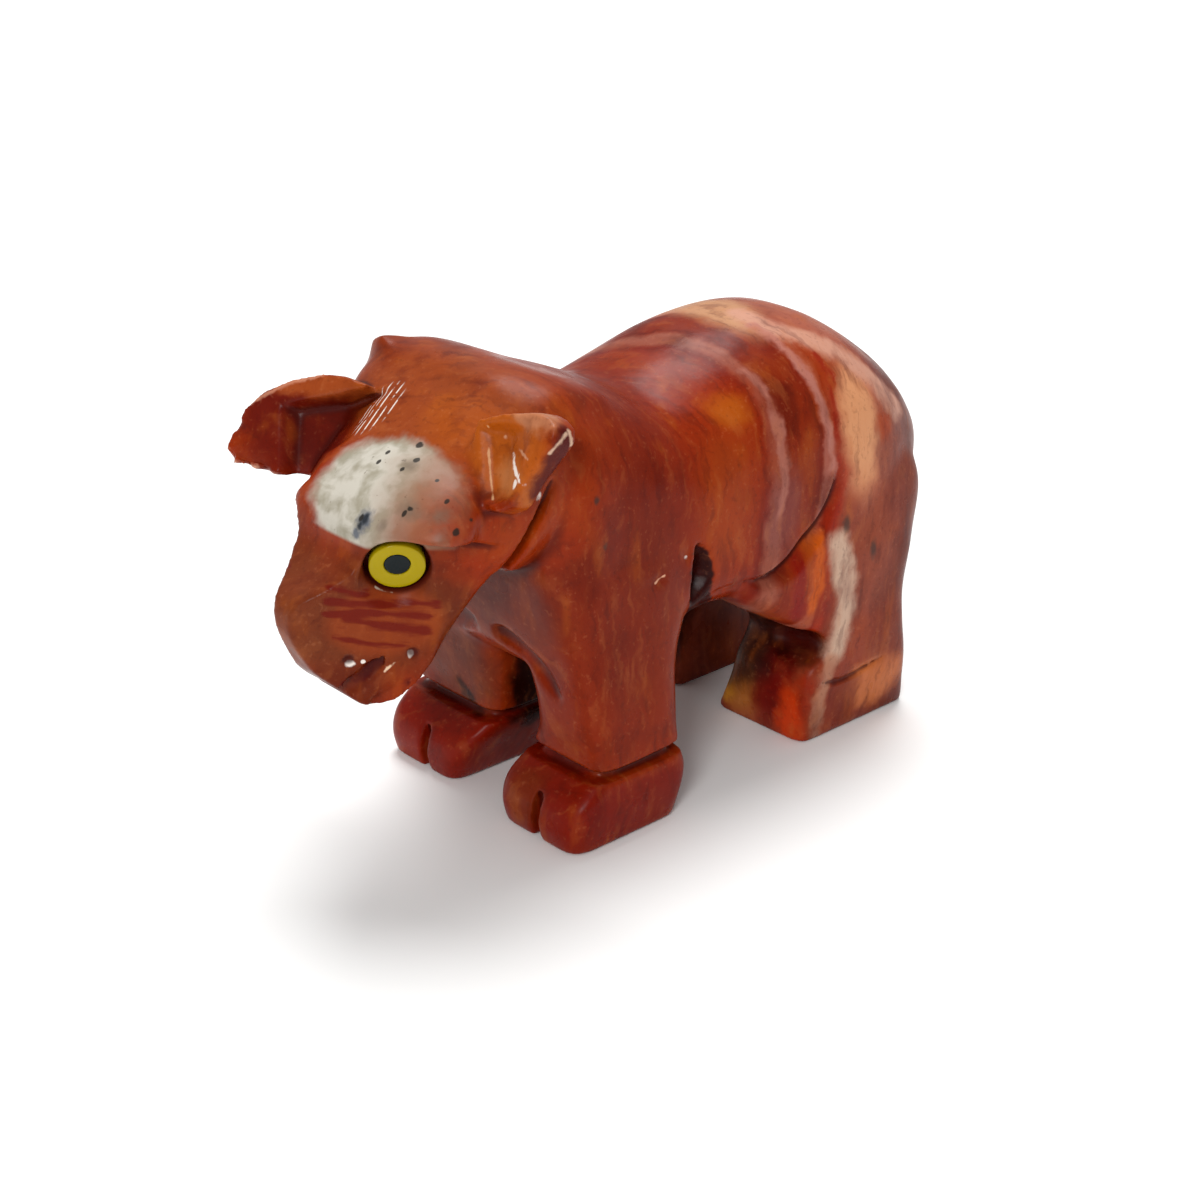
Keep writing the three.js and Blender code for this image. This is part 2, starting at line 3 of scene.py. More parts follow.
import bpy
import numpy as np
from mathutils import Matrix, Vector


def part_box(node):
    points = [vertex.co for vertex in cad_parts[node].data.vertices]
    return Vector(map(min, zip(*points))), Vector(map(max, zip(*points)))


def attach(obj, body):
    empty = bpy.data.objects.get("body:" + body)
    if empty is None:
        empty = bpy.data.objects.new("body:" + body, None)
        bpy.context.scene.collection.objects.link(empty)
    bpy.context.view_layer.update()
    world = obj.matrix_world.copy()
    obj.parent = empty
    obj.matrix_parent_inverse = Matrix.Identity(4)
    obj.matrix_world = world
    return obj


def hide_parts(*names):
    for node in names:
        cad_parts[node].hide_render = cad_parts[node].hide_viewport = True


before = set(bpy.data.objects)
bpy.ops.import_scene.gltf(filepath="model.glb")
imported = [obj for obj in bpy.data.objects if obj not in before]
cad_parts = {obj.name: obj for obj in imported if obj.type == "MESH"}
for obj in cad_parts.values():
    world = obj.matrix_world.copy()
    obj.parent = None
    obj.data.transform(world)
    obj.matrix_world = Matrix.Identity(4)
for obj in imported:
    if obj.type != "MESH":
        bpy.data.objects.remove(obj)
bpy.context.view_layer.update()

MM = 0.001

# Trunk, as lines along Y: [y, value].
BACK_LINE = [[-17.4, 28.6], [-16.6, 29.7], [-12.5, 29.6], [-9, 28.4], [-6.3, 27.4], [-3, 28.3], [1, 29.6],
    [6.5, 30.1], [10, 29.5], [13.5, 27.6], [16.4, 25.2], [18.4, 22.5], [19.6, 19.8]]
BELLY_LINE = [[-17.4, 17.5], [-16.5, 12.6], [-15.4, 10.9], [-12, 10.6], [-8.5, 11.6], [-6, 12.5], [-3, 12.6],
    [0, 12.1], [5, 10.8], [9, 9.5], [14, 9.2], [18, 10.6], [19.6, 14.0]]
TRUNK_HALF_WIDTH = [[-17.4, 7.2], [-16.4, 8.6], [-12, 9.1], [-8, 9.2], [-3, 9.3], [4, 9.5], [10, 9.6],
    [14, 8.9], [17, 7.5], [18.9, 5.4], [19.6, 3.0]]
WIDEST_HEIGHT = 19.5
BACK_ROUNDNESS = [[-17.4, 3.4], [-10, 2.7], [-3, 2.3], [19.6, 2.3]]
BELLY_ROUNDNESS = 5.5

# Legs, as lines up Z: [z, value]. Front and back are Y, inner and outer are distances from the middle.
HOOF_HEIGHT = 5.0
LEG_TOP = 24
FRONT_LEG = {
    "front": [[0, -17.6], [1.6, -17.9], [3.4, -17.3], [HOOF_HEIGHT, -15.7], [8, -15.8], [12, -16.2], [16, -16.8],
        [20, -16.6], [LEG_TOP, -13.0]],
    "back": [[0, -8.2], [3.5, -7.5], [HOOF_HEIGHT, -7.9], [9, -7.8], [11.6, -7.4], [13.8, -6.5], [19, -6.3],
        [LEG_TOP, -7.5]],
    "inner": [[0, 2.5], [3, 2.3], [HOOF_HEIGHT, 2.8], [8, 3.6], [12, 2.6], [LEG_TOP, 2]],
    "outer": [[0, 10.1], [3, 10.5], [HOOF_HEIGHT, 10.3], [9, 9.9], [14, 9.5], [19, 9.0], [LEG_TOP, 6.0]],
    "roundness": [[0, 7.5], [HOOF_HEIGHT, 6.5], [10, 5], [LEG_TOP, 5]],
}
REAR_LEG = {
    "front": [[0, 4.7], [3.6, 4.7], [HOOF_HEIGHT, 4.8], [6.2, 5.4], [7.1, 5.8], [7.9, 5.5], [8.6, 4.7],
        [9.3, 3.7], [10, 2.5], [11, 0.8], [12.5, -1.2], [14, -2.0], [16, 0], [20, 5.5], [LEG_TOP, 8]],
    "back": [[0, 16.1], [HOOF_HEIGHT, 15.6], [9, 15.5], [13, 16.5], [17, 17.0], [20, 15.8], [LEG_TOP, 12.4]],
    "inner": [[0, 0.3], [3.4, 1.5], [5.8, 1.9], [8, 1.8], [LEG_TOP, 2]],
    "outer": [[0, 9.1], [HOOF_HEIGHT, 9.6], [9, 9.6], [14, 9.7], [19, 9.2], [LEG_TOP, 6.6]],
    "roundness": [[0, 14], [HOOF_HEIGHT, 9], [9, 6], [LEG_TOP, 5]],
}
LEGS = [
    {"line": FRONT_LEG, "side": 1, "outer": 0, "back": 0, "cleft": 6.3},
    {"line": {**FRONT_LEG, "inner": [[0, 3.1], [1.7, 2.3], [HOOF_HEIGHT, 0.9], [9, 0.6], [12, 0.6], [LEG_TOP, 2]]},
        "side": -1, "outer": 0.1, "back": 0.5, "cleft": 6.1},
    {"line": REAR_LEG, "side": 1, "outer": 0, "back": 0, "cleft": None},
    {"line": {**REAR_LEG, "inner": [[0, 3.4], [HOOF_HEIGHT, 3.8], [LEG_TOP, 4.3]]}, "side": -1, "outer": 0.3,
        "back": 0, "cleft": None},
]
HOOF_GROOVE = {"width": 0.75, "depth": 0.7, "back": -5.5, "front": -19.5, "out": 20}
REAR_GROOVE = {"width": 0.6, "depth": 0.6, "fade": 0.8, "path": [[9.6, 5.6, 4.8], [9.75, 7.0, 4.4], [9.8, 8.5, 4.2],
    [9.8, 11.2, 4.5], [9.8, 13.3, 5.0]]}
# The hollow above the front of each rear foot.
FOOT_HOLLOW = {"centre": [7.7, 4.4, 7.3], "radii": [3.6, 2.5, 1.6]}
HOOF_CLEFT = {"width": 0.7, "depth": 1.1, "height": 3.3}

# Head, in its own frame: s runs down the face from HEAD_ORIGIN, b runs out through the forehead.
HEAD_ORIGIN = np.array([0, -18, 24.1])
HEAD_PITCH = math.radians(46)
MUZZLE_END = 15.8
NAPE_END = -8
FACE_LINE = [[NAPE_END, -0.6], [-6.8, 2.2], [-5.4, 3.8], [-3, 4.6], [1, 5.6], [5, 6.4], [7, 6.6], [9.5, 5.5],
    [11.4, 5.7], [13.2, 6.1], [14.4, 5.4], [15.2, 3.9], [MUZZLE_END, 2.0]]
JAW_LINE = [[NAPE_END, -3.2], [-5, -4.6], [2, -4.6], [6, -3.7], [9, -3.1], [12, -3.3], [14.2, -3.4],
    [MUZZLE_END, -2.2]]
HEAD_HALF_WIDTH = [[NAPE_END, 5.8], [-4, 7.9], [1, 8.4], [4, 7.7], [6.5, 6.3], [9.5, 5.2], [11.5, 5.05],
    [13.8, 4.7], [MUZZLE_END, 3.3]]
NAPE_CORNER = [[NAPE_END, 2.2], [-3, 1.9], [1, 0.4], [4, 0], [MUZZLE_END, 0]]
HEAD_ROUNDNESS_LEFT = [[NAPE_END, 2.4], [0, 2.7], [5, 3.0], [8, 4.6], [12, 4.6], [MUZZLE_END, 3.2]]
HEAD_ROUNDNESS_RIGHT = [[NAPE_END, 5.0], [-2, 4.2], [3, 2.8], [5, 3.0], [8, 4.6], [12, 4.6], [MUZZLE_END, 3.2]]
CHEEK_NORMAL = np.array([0.858, -0.495, -0.139]) / np.linalg.norm([0.858, -0.495, -0.139])
CHEEK_DISTANCE = 13.97
# The space under the jaw, seen from the side as [y, z], and the slit between the head and the neck.
THROAT = [[-21.0, 19.9], [-23.9, 14.2], [-25.3, 12.3], [-26.5, 11.3], [-26.5, 8.0], [-18.0, 8.0], [-18.0, 17.0],
    [-18.6, 19.4]]
NECK_SLIT = {"width": 0.9, "depth": 1.5, "path": [[7.2, -20.7, 19.2], [8.2, -19.7, 21.3], [8.9, -18.7, 23.3],
    [9.6, -17.7, 25.2]]}
# The rounded boss over the left brow, in [x, s, b], and the height of its flat lower edge.
BOSS = {"centre": [1.7, 5.6, 3.9], "radii": [6.8, 5.3, 3.0], "edge": 22.8}
# The filed cheek runs from the brow's ledge, as [y, z], down past the jaw.
CHEEK_LOW = [[-18, 2], [-32, 2]]
BROW_LEDGE = [[-32, 22.0], [-28.4, 22.4], [-26.6, 23.2], [-24.4, 23.0], [-22, 22.3], [-18, 21.0]]

# A square corner of the poll, behind the right ear.
POLL = {"face": [[-5.0, -18.9, 29.5], [-7.2, -18.2, 30.4], [-8.6, -17.9, 30.9], [-9.9, -17.4, 30.2],
    [-10.1, -18.0, 27.6], [-5.0, -19.4, 27.6]], "thickness": 1.8}
# Ears: corners of the front face, seen from the front, and the thickness behind it. The hollow of each ear has its
# mouth just in front of that face and its floor behind it.
LEFT_EAR = {"face": [[5.4, -21.0, 29.2], [7.1, -20.6, 29.9], [8.8, -20.3, 30.3], [10.1, -20.1, 30.6],
    [10.9, -20.2, 30.5], [11.6, -20.3, 30.1], [11.75, -20.6, 29.4], [11.1, -21.0, 28.2], [10.4, -21.4, 27.0],
    [10.0, -21.7, 26.1], [9.5, -22.0, 25.1], [8.6, -22.3, 24.7], [5.4, -22.6, 24.6]], "thickness": 1.9,
    "mouth": [[5.1, -21.3, 29.1], [8.2, -20.8, 29.9], [10.3, -20.6, 30.2], [10.8, -21.0, 29.0], [10.6, -21.5, 27.4],
    [9.9, -22.1, 25.6], [8.4, -22.5, 24.8], [7.2, -22.6, 25.0]], "floor": [[6.3, -20.5, 28.6], [7.1, -20.3, 28.8],
    [7.5, -20.2, 28.6], [7.7, -20.3, 28.2], [7.9, -20.6, 27.3], [8.4, -21.4, 25.5], [8.2, -21.6, 25.2],
    [7.8, -21.6, 25.3]]}
RIGHT_EAR = {"face": [[-5.0, -21.3, 29.0], [-6.8, -21.7, 29.2], [-8.4, -22.3, 29.1], [-10.4, -23.3, 28.5],
    [-12.1, -24.4, 27.5], [-13.0, -25.4, 26.3], [-13.2, -26.4, 24.8], [-13.1, -27.0, 24.0], [-12.1, -27.1, 23.3],
    [-10.3, -26.6, 23.3], [-8.1, -26.0, 23.0], [-6.6, -25.6, 23.0], [-5.0, -25.2, 23.1]], "thickness": 2.8,
    "mouth": [[-10.7, -24.5, 27.2], [-6.6, -22.4, 28.5], [-3.4, -20.9, 29.5], [-2.3, -20.4, 29.5],
    [-2.6, -22.0, 28.2], [-2.9, -23.8, 26.8], [-4.0, -25.1, 25.7], [-4.4, -26.9, 23.6], [-8.3, -26.1, 23.1]],
    "floor": [[-9.9, -23.2, 26.4], [-6.9, -20.9, 27.1], [-5.7, -20.3, 27.8], [-5.6, -20.3, 27.6], [-6.2, -21.2, 26.9],
    [-6.9, -22.2, 25.6], [-7.4, -23.3, 24.2], [-7.6, -24.6, 22.6], [-8.0, -25.0, 22.6]]}

# The notch filed behind the elbow: its corners as [y, z], and how far out it starts and ends.
ELBOW_NOTCH = {"corners": [[-6.3, 18.9], [-5.7, 18.8], [-5.1, 18.2], [-4.4, 15.8], [-5.1, 14.5], [-6.5, 13.0],
    [-6.6, 16.0]], "inside": 7.2, "outside": 9.6, "inner_size": 0.25, "inner_forward": 1.0}
# File strokes from point to point: how wide and deep they are, and how much they narrow towards their ends.
MOUTH = {"width": 0.65, "depth": 0.7, "fade": 0.6, "path": [[3.2, -26.4, 15.0], [2.75, -27.1, 14.35],
    [2.1, -28.2, 13.2], [0.9, -28.8, 12.7], [-0.9, -28.8, 12.7], [-2.1, -28.2, 13.2], [-2.75, -27.1, 14.35],
    [-3.2, -26.4, 15.0]]}
CHIN_STROKE = {"width": 0.6, "depth": 0.45, "fade": 0.5, "path": [[3.9, -25.5, 13.1], [3.4, -26.2, 12.6],
    [2.9, -26.8, 12.1], [2.2, -27.3, 11.6]]}
CHEST_STROKE = {"width": 2.0, "depth": 0.8, "fade": 0.5, "path": [[0.9, -16.6, 12.7], [2.7, -16.6, 12.4],
    [4.8, -16.4, 11.3], [6.9, -16.2, 9.7]]}
# Round pits, placed on the head in [x, s, b].
NOSTRIL = {"radius": 0.5, "place": [2.3, 14.1, 1.3]}
LIP_DIMPLE = {"radius": 0.45, "place": [4.2, 11.7, -1.0]}
# The crease under the barrel, where the flank and thigh are cut back: [y, z, depth]. Its section is [run, rise], and
# the skin there is so far from the middle.
FLANK_SECTION = [[0.0, 3.0], [0.0, 0.1], [0.45, -1.0], [1.7, 0.1], [1.7, 3.0]]
FLANK_SKIN = 9.55
FLANK_FULL_DEPTH = 0.8
FLANK_CREASE = [[-6.6, 14.2, 0.9], [-4.3, 14.9, 0.9], [-2, 15.0, 0.8], [0, 14.8, 0.8], [1.9, 15.4, 0.9],
    [3.3, 16.4, 0.9], [4.7, 17.4, 0.75], [5.9, 19.0, 0.5], [6.6, 20.8, 0.1]]
TAIL = {"line": [[15.0, 25.8], [16.7, 24.8], [18.0, 23.4], [18.9, 21.8], [19.4, 19.6]], "width": 1.2, "height": 0.8}

# Inlaid eyes, set a little askew in the cheeks.
EYE_PLACE = np.array([4.17, -26.23, 21.0])
EYE_NORMAL = np.array([0.763, -0.550, -0.340]) / np.linalg.norm([0.763, -0.550, -0.340])
SOCKET_RADIUS = 2.0
SOCKET_DEPTH = 1.1
# The stone round each eye is pared back to a flare: how far out it reaches and its radius there.
FLARE = {"height": 3, "radius": 4.4}
EYE_PROUD = 0.15
EYE_DEPTH = 0.8
PUPIL_RISE = 0.2
# Sections of the eye's sleeve and core: [radius, height, rise].
SLEEVE_PROFILE = [[1.62, -EYE_DEPTH, 0], [1.68, -0.74, 0], [1.68, 0.0, 0], [1.66, 0.05, 0], [1.6, 0.08, 0],
    [1.4, 0.11, 0.05], [1.1, 0.14, 0.15], [0.92, EYE_PROUD, PUPIL_RISE], [0.84, 0.14, PUPIL_RISE],
    [0.8, 0.1, PUPIL_RISE], [0.8, -0.74, PUPIL_RISE], [0.86, -EYE_DEPTH, PUPIL_RISE]]
CORE_PROFILE = [[0.7, -EYE_DEPTH, PUPIL_RISE], [0.76, -0.76, PUPIL_RISE], [0.76, 0.08, PUPIL_RISE],
    [0.74, 0.11, PUPIL_RISE], [0.68, 0.13, PUPIL_RISE], [0.4, EYE_PROUD, PUPIL_RISE], [0.1, EYE_PROUD, PUPIL_RISE]]

# The skin: how coarse it is roughed out and how fine it is finished, how many rounds of rubbing it gets, and how
# uneven it is. The feet are hardly rubbed; rubbing comes in fully above them. Chips are [centre, radius, depth].
ROUGH_VOXEL = 0.25
FINE_VOXEL = 0.17
MOST_TRIANGLES = 190000
ROUGH_RUBS = 9
FINE_RUBS = 4
HOLLOW_ROUNDS = 40
UNRUBBED = {"below": 4, "over": 5, "share": 0.1}
WOBBLE = {"waves": 24, "length": (3.0, 9.0), "height": 0.035, "foot": 3, "top": 30.2, "seed": 7}
CHIPS = [([-12.6, -27.0, 23.7], 0.5, 0.25), ([-11.2, -26.9, 23.3], 0.55, 0.3), ([-9.6, -26.4, 23.2], 0.5, 0.3),
    ([-8.2, -26.0, 23.0], 0.45, 0.25), ([-13.1, -25.9, 25.4], 0.45, 0.2), ([12.3, -20.2, 29.6], 0.35, 0.15),
    ([9.2, -7.2, 17.8], 0.3, 0.18), ([9.3, -9.7, 17.0], 0.4, 0.16), ([9.6, -13.0, 6.4], 0.3, 0.15),
    ([7.0, -16.0, 7.4], 0.3, 0.15), ([9.7, -12.2, 9.9], 0.25, 0.12), ([9.2, 7.6, 4.6], 0.3, 0.12)]

# The stone's sheets: the way across them, where they start, and the colour at each distance across, in mm.
SHEET_WAY = (-0.33, 1.0, -0.114)
SHEET_START = 2.28
SHEET_RANGE = (-6.0, 16.0)
SHEETS = [(-6.0, "9a3a0c"), (-4.2, "943408"), (-3.2, "862606"), (-2.5, "9c5a48"), (-1.7, "a0604e"), (-1.1, "862c08"),
    (0.4, "8e3208"), (1.7, "84280a"), (2.1, "a86658"), (2.9, "a65a46"), (3.3, "962c06"), (4.0, "a2320a"),
        (4.6, "98482e"),
    (6.8, "94442e"), (8.4, "9a4c34"), (10.6, "884230"), (12.0, "813818"), (16.0, "7c3216")]
# How far the boundaries of the stone wander, slowly and raggedly, and the edge of the white patch, in mm.
DRIFT_REACH = 1.7
RAGGED_REACH = 1.3
FRAY_REACH = 1.6
# How much marks, nicks and file bands are broken up at their edges.
MARK_BREAKS = 1.2
NICK_BREAKS = 2.4
BAND_BREAKS = 6.0
# The size of clouds, of the grain drawn out upwards and of the powder, in mm.
CLOUD_SIZE = 4.2
TALL_GRAIN = (1.7, 1.7, 6.5)
POWDER_SIZE = 0.35
# Colours laid over the sheets, with their share.
ORANGE_CLOUD = ("a24a12", 0.5)
DARK_CLOUD = ("5c1804", 0.5)
GOLD_GRAIN = ("b4641c", 0.3)
RED_GRAIN = ("641402", 0.35)
PALE_STREAK = ("c07a4a", 0.2)
DARK_STREAK = ("541204", 0.35)
DARK_POWDER = ("3a1206", 0.16)
PALE_POWDER = ("e0a07a", 0.09)
GREY_CHALK = "97917f"
PALE_CHALK = "c0bbae"
BROWN_CHALK = ("8a6044", 0.85)
CHALK_SPECK = ("4a3c32", 0.5)
FILED_CHEEK = ("8e3812", 0.6)
CHEEK_RED = ("620a02", 0.85)
# Painted highlight for the file rows up the right ear.
EAR_ROW_HIGHLIGHT = ("f3ece2", 0.85)
# Dark red painted shade for the cuts and hollows.
PAINTED_CUT_SHADE = "3e0602"
# Painted shade for the gap and wall of each eye's socket, round the eye.
SOCKET_GAP_SHADE = "4a140a"
# The wax: how much it deepens the colours, how rough it is and how much duller in places, and its sheen. Painted
# shade darkens a spot as a cut from the first depth below its surroundings and wholly from the second, in mm.
WAX_DEPTH = 1.22
WAX_ROUGHNESS = 0.27
WAX_DULLER = 0.14
WAX_SHEEN = 0.1
RELIEF_DEPTH = 0.06
CUT_SHADE_RISE = (0.01, 0.13)
# Clouded patches laid over the sheets, with some patches of painted shade and painted light: a name, colour, middle,
# radii, softness and share.
PATCHES = [
    ("neck", "7c2404", (3, -9, 24), (12, 5, 9), 0.4, 0.7),
    ("shoulder", "762405", (8, -12.5, 16), (5, 5, 7), 0.4, 0.6),
    ("top of the head", "9a4f22", (0, -20, 28.8), (9, 6, 3.6), 0.4, 0.85),
    ("forehead", "ab5a18", (3.4, -20.6, 28.4), (3.2, 2.2, 1.8), 0.5, 0.75),
    ("poll", "8c3c12", (-8, -17.6, 30), (2.6, 2, 2.2), 0.4, 0.8),
    ("left ear", "b8661e", (8.2, -20.9, 27.6), (3.4, 1.7, 3.4), 0.3, 0.85),
    ("pale facet of the left ear", "c48a5c", (8.4, -20.9, 26.3), (1.1, 1.2, 1.4), 0.5, 0.7),
    ("right ear", "6c1608", (-9, -23.8, 25.6), (4.4, 3.4, 3.4), 0.3, 0.85),
    ("rim of the left ear", "c08a6a", (9.6, -20.2, 30.4), (2.6, 1.2, 0.7), 0.5, 0.75),
    ("right ear rim", "ac5a2c", (-9.4, -22.8, 28.4), (4.4, 1.8, 0.9), 0.4, 0.8),
    ("cheek", "74391c", (4, -26.5, 18), (3.6, 5, 4.6), 0.4, 0.85),
    ("right cheek", "74391c", (-4, -26.5, 18), (3.6, 5, 4.6), 0.4, 0.85),
    ("muzzle", "7a4226", (0, -30, 17.4), (4, 3.2, 4.4), 0.4, 0.8),
    ("lips", "6c2c12", (0, -28.4, 12.6), (4.4, 2.8, 2.2), 0.35, 0.8),
    ("chest", "6c3020", (2.4, -17, 16), (5.4, 2.2, 4), 0.4, 0.7),
    ("right front leg", "7a402a", (-4.4, -15.4, 8.2), (3.6, 2, 3), 0.3, 0.7),
    ("left front leg", "802803", (7, -13, 9), (5, 6, 5), 0.4, 0.5),
    ("front hooves", "801403", (0, -13, 2.4), (15, 9, 2.9), 0.14, 0.75),
    ("front toes", "7c3a14", (5.2, -18, 3), (1.8, 1.6, 2.4), 0.4, 0.6),
    ("back", "a03804", (7, -3, 24), (5, 4.6, 5), 0.5, 0.5),
    ("gold on the back", "bc6c1c", (7.2, -1.9, 26.0), (1.5, 1.5, 1.3), 0.6, 0.6),
    ("gold down the barrel", "a8501a", (8.8, -3.4, 21), (1.6, 2.2, 4.4), 0.6, 0.5),
    ("mauve flank", "8c5450", (9.3, 1.6, 18.6), (1.6, 1.6, 2.8), 0.5, 0.6),
    ("tan ridge", "c99c78", (-1.0, 4.6, 30.2), (5.4, 2.3, 2.0), 0.45, 0.9),
    ("pink behind the ridge", "b4705a", (3.0, 9.8, 29.0), (4.8, 3.0, 2.8), 0.5, 0.75),
    ("pink round the cream", "c0785c", (9.0, 10.0, 22.6), (3.0, 3.0, 5.4), 0.45, 0.75),
    ("cream thigh", "d8a078", (9.0, 9.4, 22.8), (2.7, 1.9, 4.6), 0.4, 0.95),
    ("mauve rump", "8c4a3a", (9.2, 12.8, 20.0), (2.4, 2.0, 4.0), 0.4, 0.7),
    ("orange fleck of the rump", "b04c14", (9.1, 11.9, 22.2), (0.9, 0.8, 1.0), 0.6, 0.7),
    ("pink shank", "94503a", (9.6, 10.0, 13.4), (2.0, 3.0, 4.4), 0.4, 0.6),
    ("orange thigh", "a8480f", (9.6, 4.3, 13.6), (1.6, 1.9, 3.4), 0.4, 0.8),
    ("rear heel", "cf8250", (9.2, 11.6, 3.0), (2.4, 3.4, 2.0), 0.3, 0.75),
    ("red heel", "7c2c14", (9.2, 8.6, 2.2), (2.0, 1.4, 2.6), 0.4, 0.7),
    ("rear foot", "8a3c20", (9.4, 13.0, 7), (2, 2.4, 3), 0.4, 0.6),
    # The stone's own brown and gold on the front of the left rear foot, painted lighter as painted light against the
    # shade under the thigh.
    ("brown toe lightened with painted light", "b0743a", (2.8, 4.8, 3.2), (2.4, 1.8, 2.8), 0.35, 0.9),
    ("gold toe lightened with painted light", "d89a30", (1.5, 4.6, 2.4), (1.2, 1.6, 1.5), 0.5, 0.8),
    ("red toe", "7c0c02", (5.9, 4.6, 4.2), (1.7, 1.6, 3.4), 0.35, 0.9),
    ("bright edge of the toe", "d04a0c", (7.6, 4.4, 2.0), (1.0, 1.2, 2.6), 0.5, 0.85),
    # Painted shade: dark patches in the elbow notch, in the hollow over each rear foot and between the legs.
    ("painted shade in the elbow notch", "300404", (8.0, -5.7, 15.9), (1.15, 1.5, 3.2), 0.1, 0.95),
    ("painted shade in the foot hollow", "2a0805", (6.0, 5.6, 7.0), (2.8, 2.2, 1.5), 0.35, 0.9),
    ("painted shade between the legs", "300c05", (0, -2, 6.5), (8.4, 9.4, 6.6), 0.1, 0.9),
    ("painted shade between the front legs", "200603", (1.1, -11.4, 6), (3.0, 3.6, 6.5), 0.15, 0.95),
]
# Streaks that run along a path, some of them painted shade: a name, colour, half width, softness, share and the path.
STREAKS = [
    ("lilac streak over the rump", "cfa08c", 0.85, 0.6, 0.9, [(1.6, 5.2, 30.1), (4.6, 6.0, 29.0),
        (5.9, 8.1, 28.1),
        (7.0, 10.7, 26.5), (7.8, 12.4, 24.9), (8.4, 13.8, 22.8)]),
    ("pale side of the rump's streak", "bc8478", 0.42, 0.6, 0.75, [(3.4, 4.9, 29.6), (5.8, 5.0, 28.3),
        (7.2, 5.6, 27.0),
        (8.3, 5.7, 25.3), (9.1, 6.1, 23.4), (9.5, 6.2, 21.5), (9.6, 5.4, 19.8)]),
    ("pale side of the barrel's streak", "b47a6c", 0.4, 0.6, 0.7, [(5.8, 0.7, 27.7), (7.3, 1.5, 26.4),
        (8.6, 1.7, 24.3),
        (9.3, 1.6, 22.0), (9.4, 1.2, 18.6)]),
    ("red edge of the cream", "982804", 0.3, 0.7, 0.8, [(6.7, 7.2, 27.6), (7.7, 7.6, 26.4), (8.7, 7.1, 24.7),
        (9.3, 6.7, 22.8), (9.6, 6.5, 20.8), (9.6, 6.4, 18.0)]),
    ("orange streak down the thigh", "c86414", 0.55, 0.6, 0.8, [(9.6, 5.3, 16.4), (9.7, 5.0, 14.4),
        (9.7, 5.2, 12.4),
        (9.5, 4.6, 11.0)]),
    ("red streak down the thigh", "8a0e02", 0.6, 0.7, 0.85, [(9.4, 3.2, 15.0), (9.6, 3.1, 12.6),
        (9.4, 3.4, 10.8)]),
    ("pale streak down the shank", "cdb09c", 1.0, 0.6, 0.95, [(9.7, 7.2, 15.0), (9.8, 8.1, 12.0), (9.7, 8.2, 9.6),
        (9.5, 7.4, 7.0)]),
    ("pale streak down the foot", "b98a72", 0.55, 0.6, 0.8, [(9.4, 7.0, 6.2), (9.3, 6.2, 3.0), (9.2, 6.0, 0.4)]),
    # Painted shade in the mouth slit and on the chin's shaded underside.
    ("painted shade in the mouth", "5c0602", 0.3, 0.5, 0.95, [(2.73, -26.64, 14.36), (2.19, -27.49, 13.57),
        (1.83, -28.68, 12.88)]),
    ("painted shade under the chin", "5c0602", 0.3, 0.5, 0.9, [(3.59, -25.46, 12.94), (3.3, -25.96, 12.45),
        (2.97, -26.42, 12.0)]),
    ("dark stroke on the right front leg", "2a0302", 0.5, 0.6, 0.85, [(-4.7, -15.3, 6.8), (-3.7, -15.1, 5.5),
        (-2.9, -15.1, 4.6)]),
    # Painted shade on the end face behind the left ear's rim.
    ("painted shade on the back edge of the left ear", "5c0602", 0.8, 0.4, 0.9, [(11.7, -19.7, 29.2), (10.8, -19.8, 27.4),
        (10.0, -20.4, 25.8)]),
]
# The white patch, in the head's [x, s, b]: its lower edge is where it starts in height, and it turns brown and fades
# between the distances given.
WHITE_PATCH = {"centre": (2.9, 4.9, 5.9), "radii": (6.3, 4.0, 3.8), "soft": 0.13, "lower_edge": (18.95, 19.25),
    "browning": (-6.2, -1.2), "fading": (9.5, 3.5), "share": 0.97}
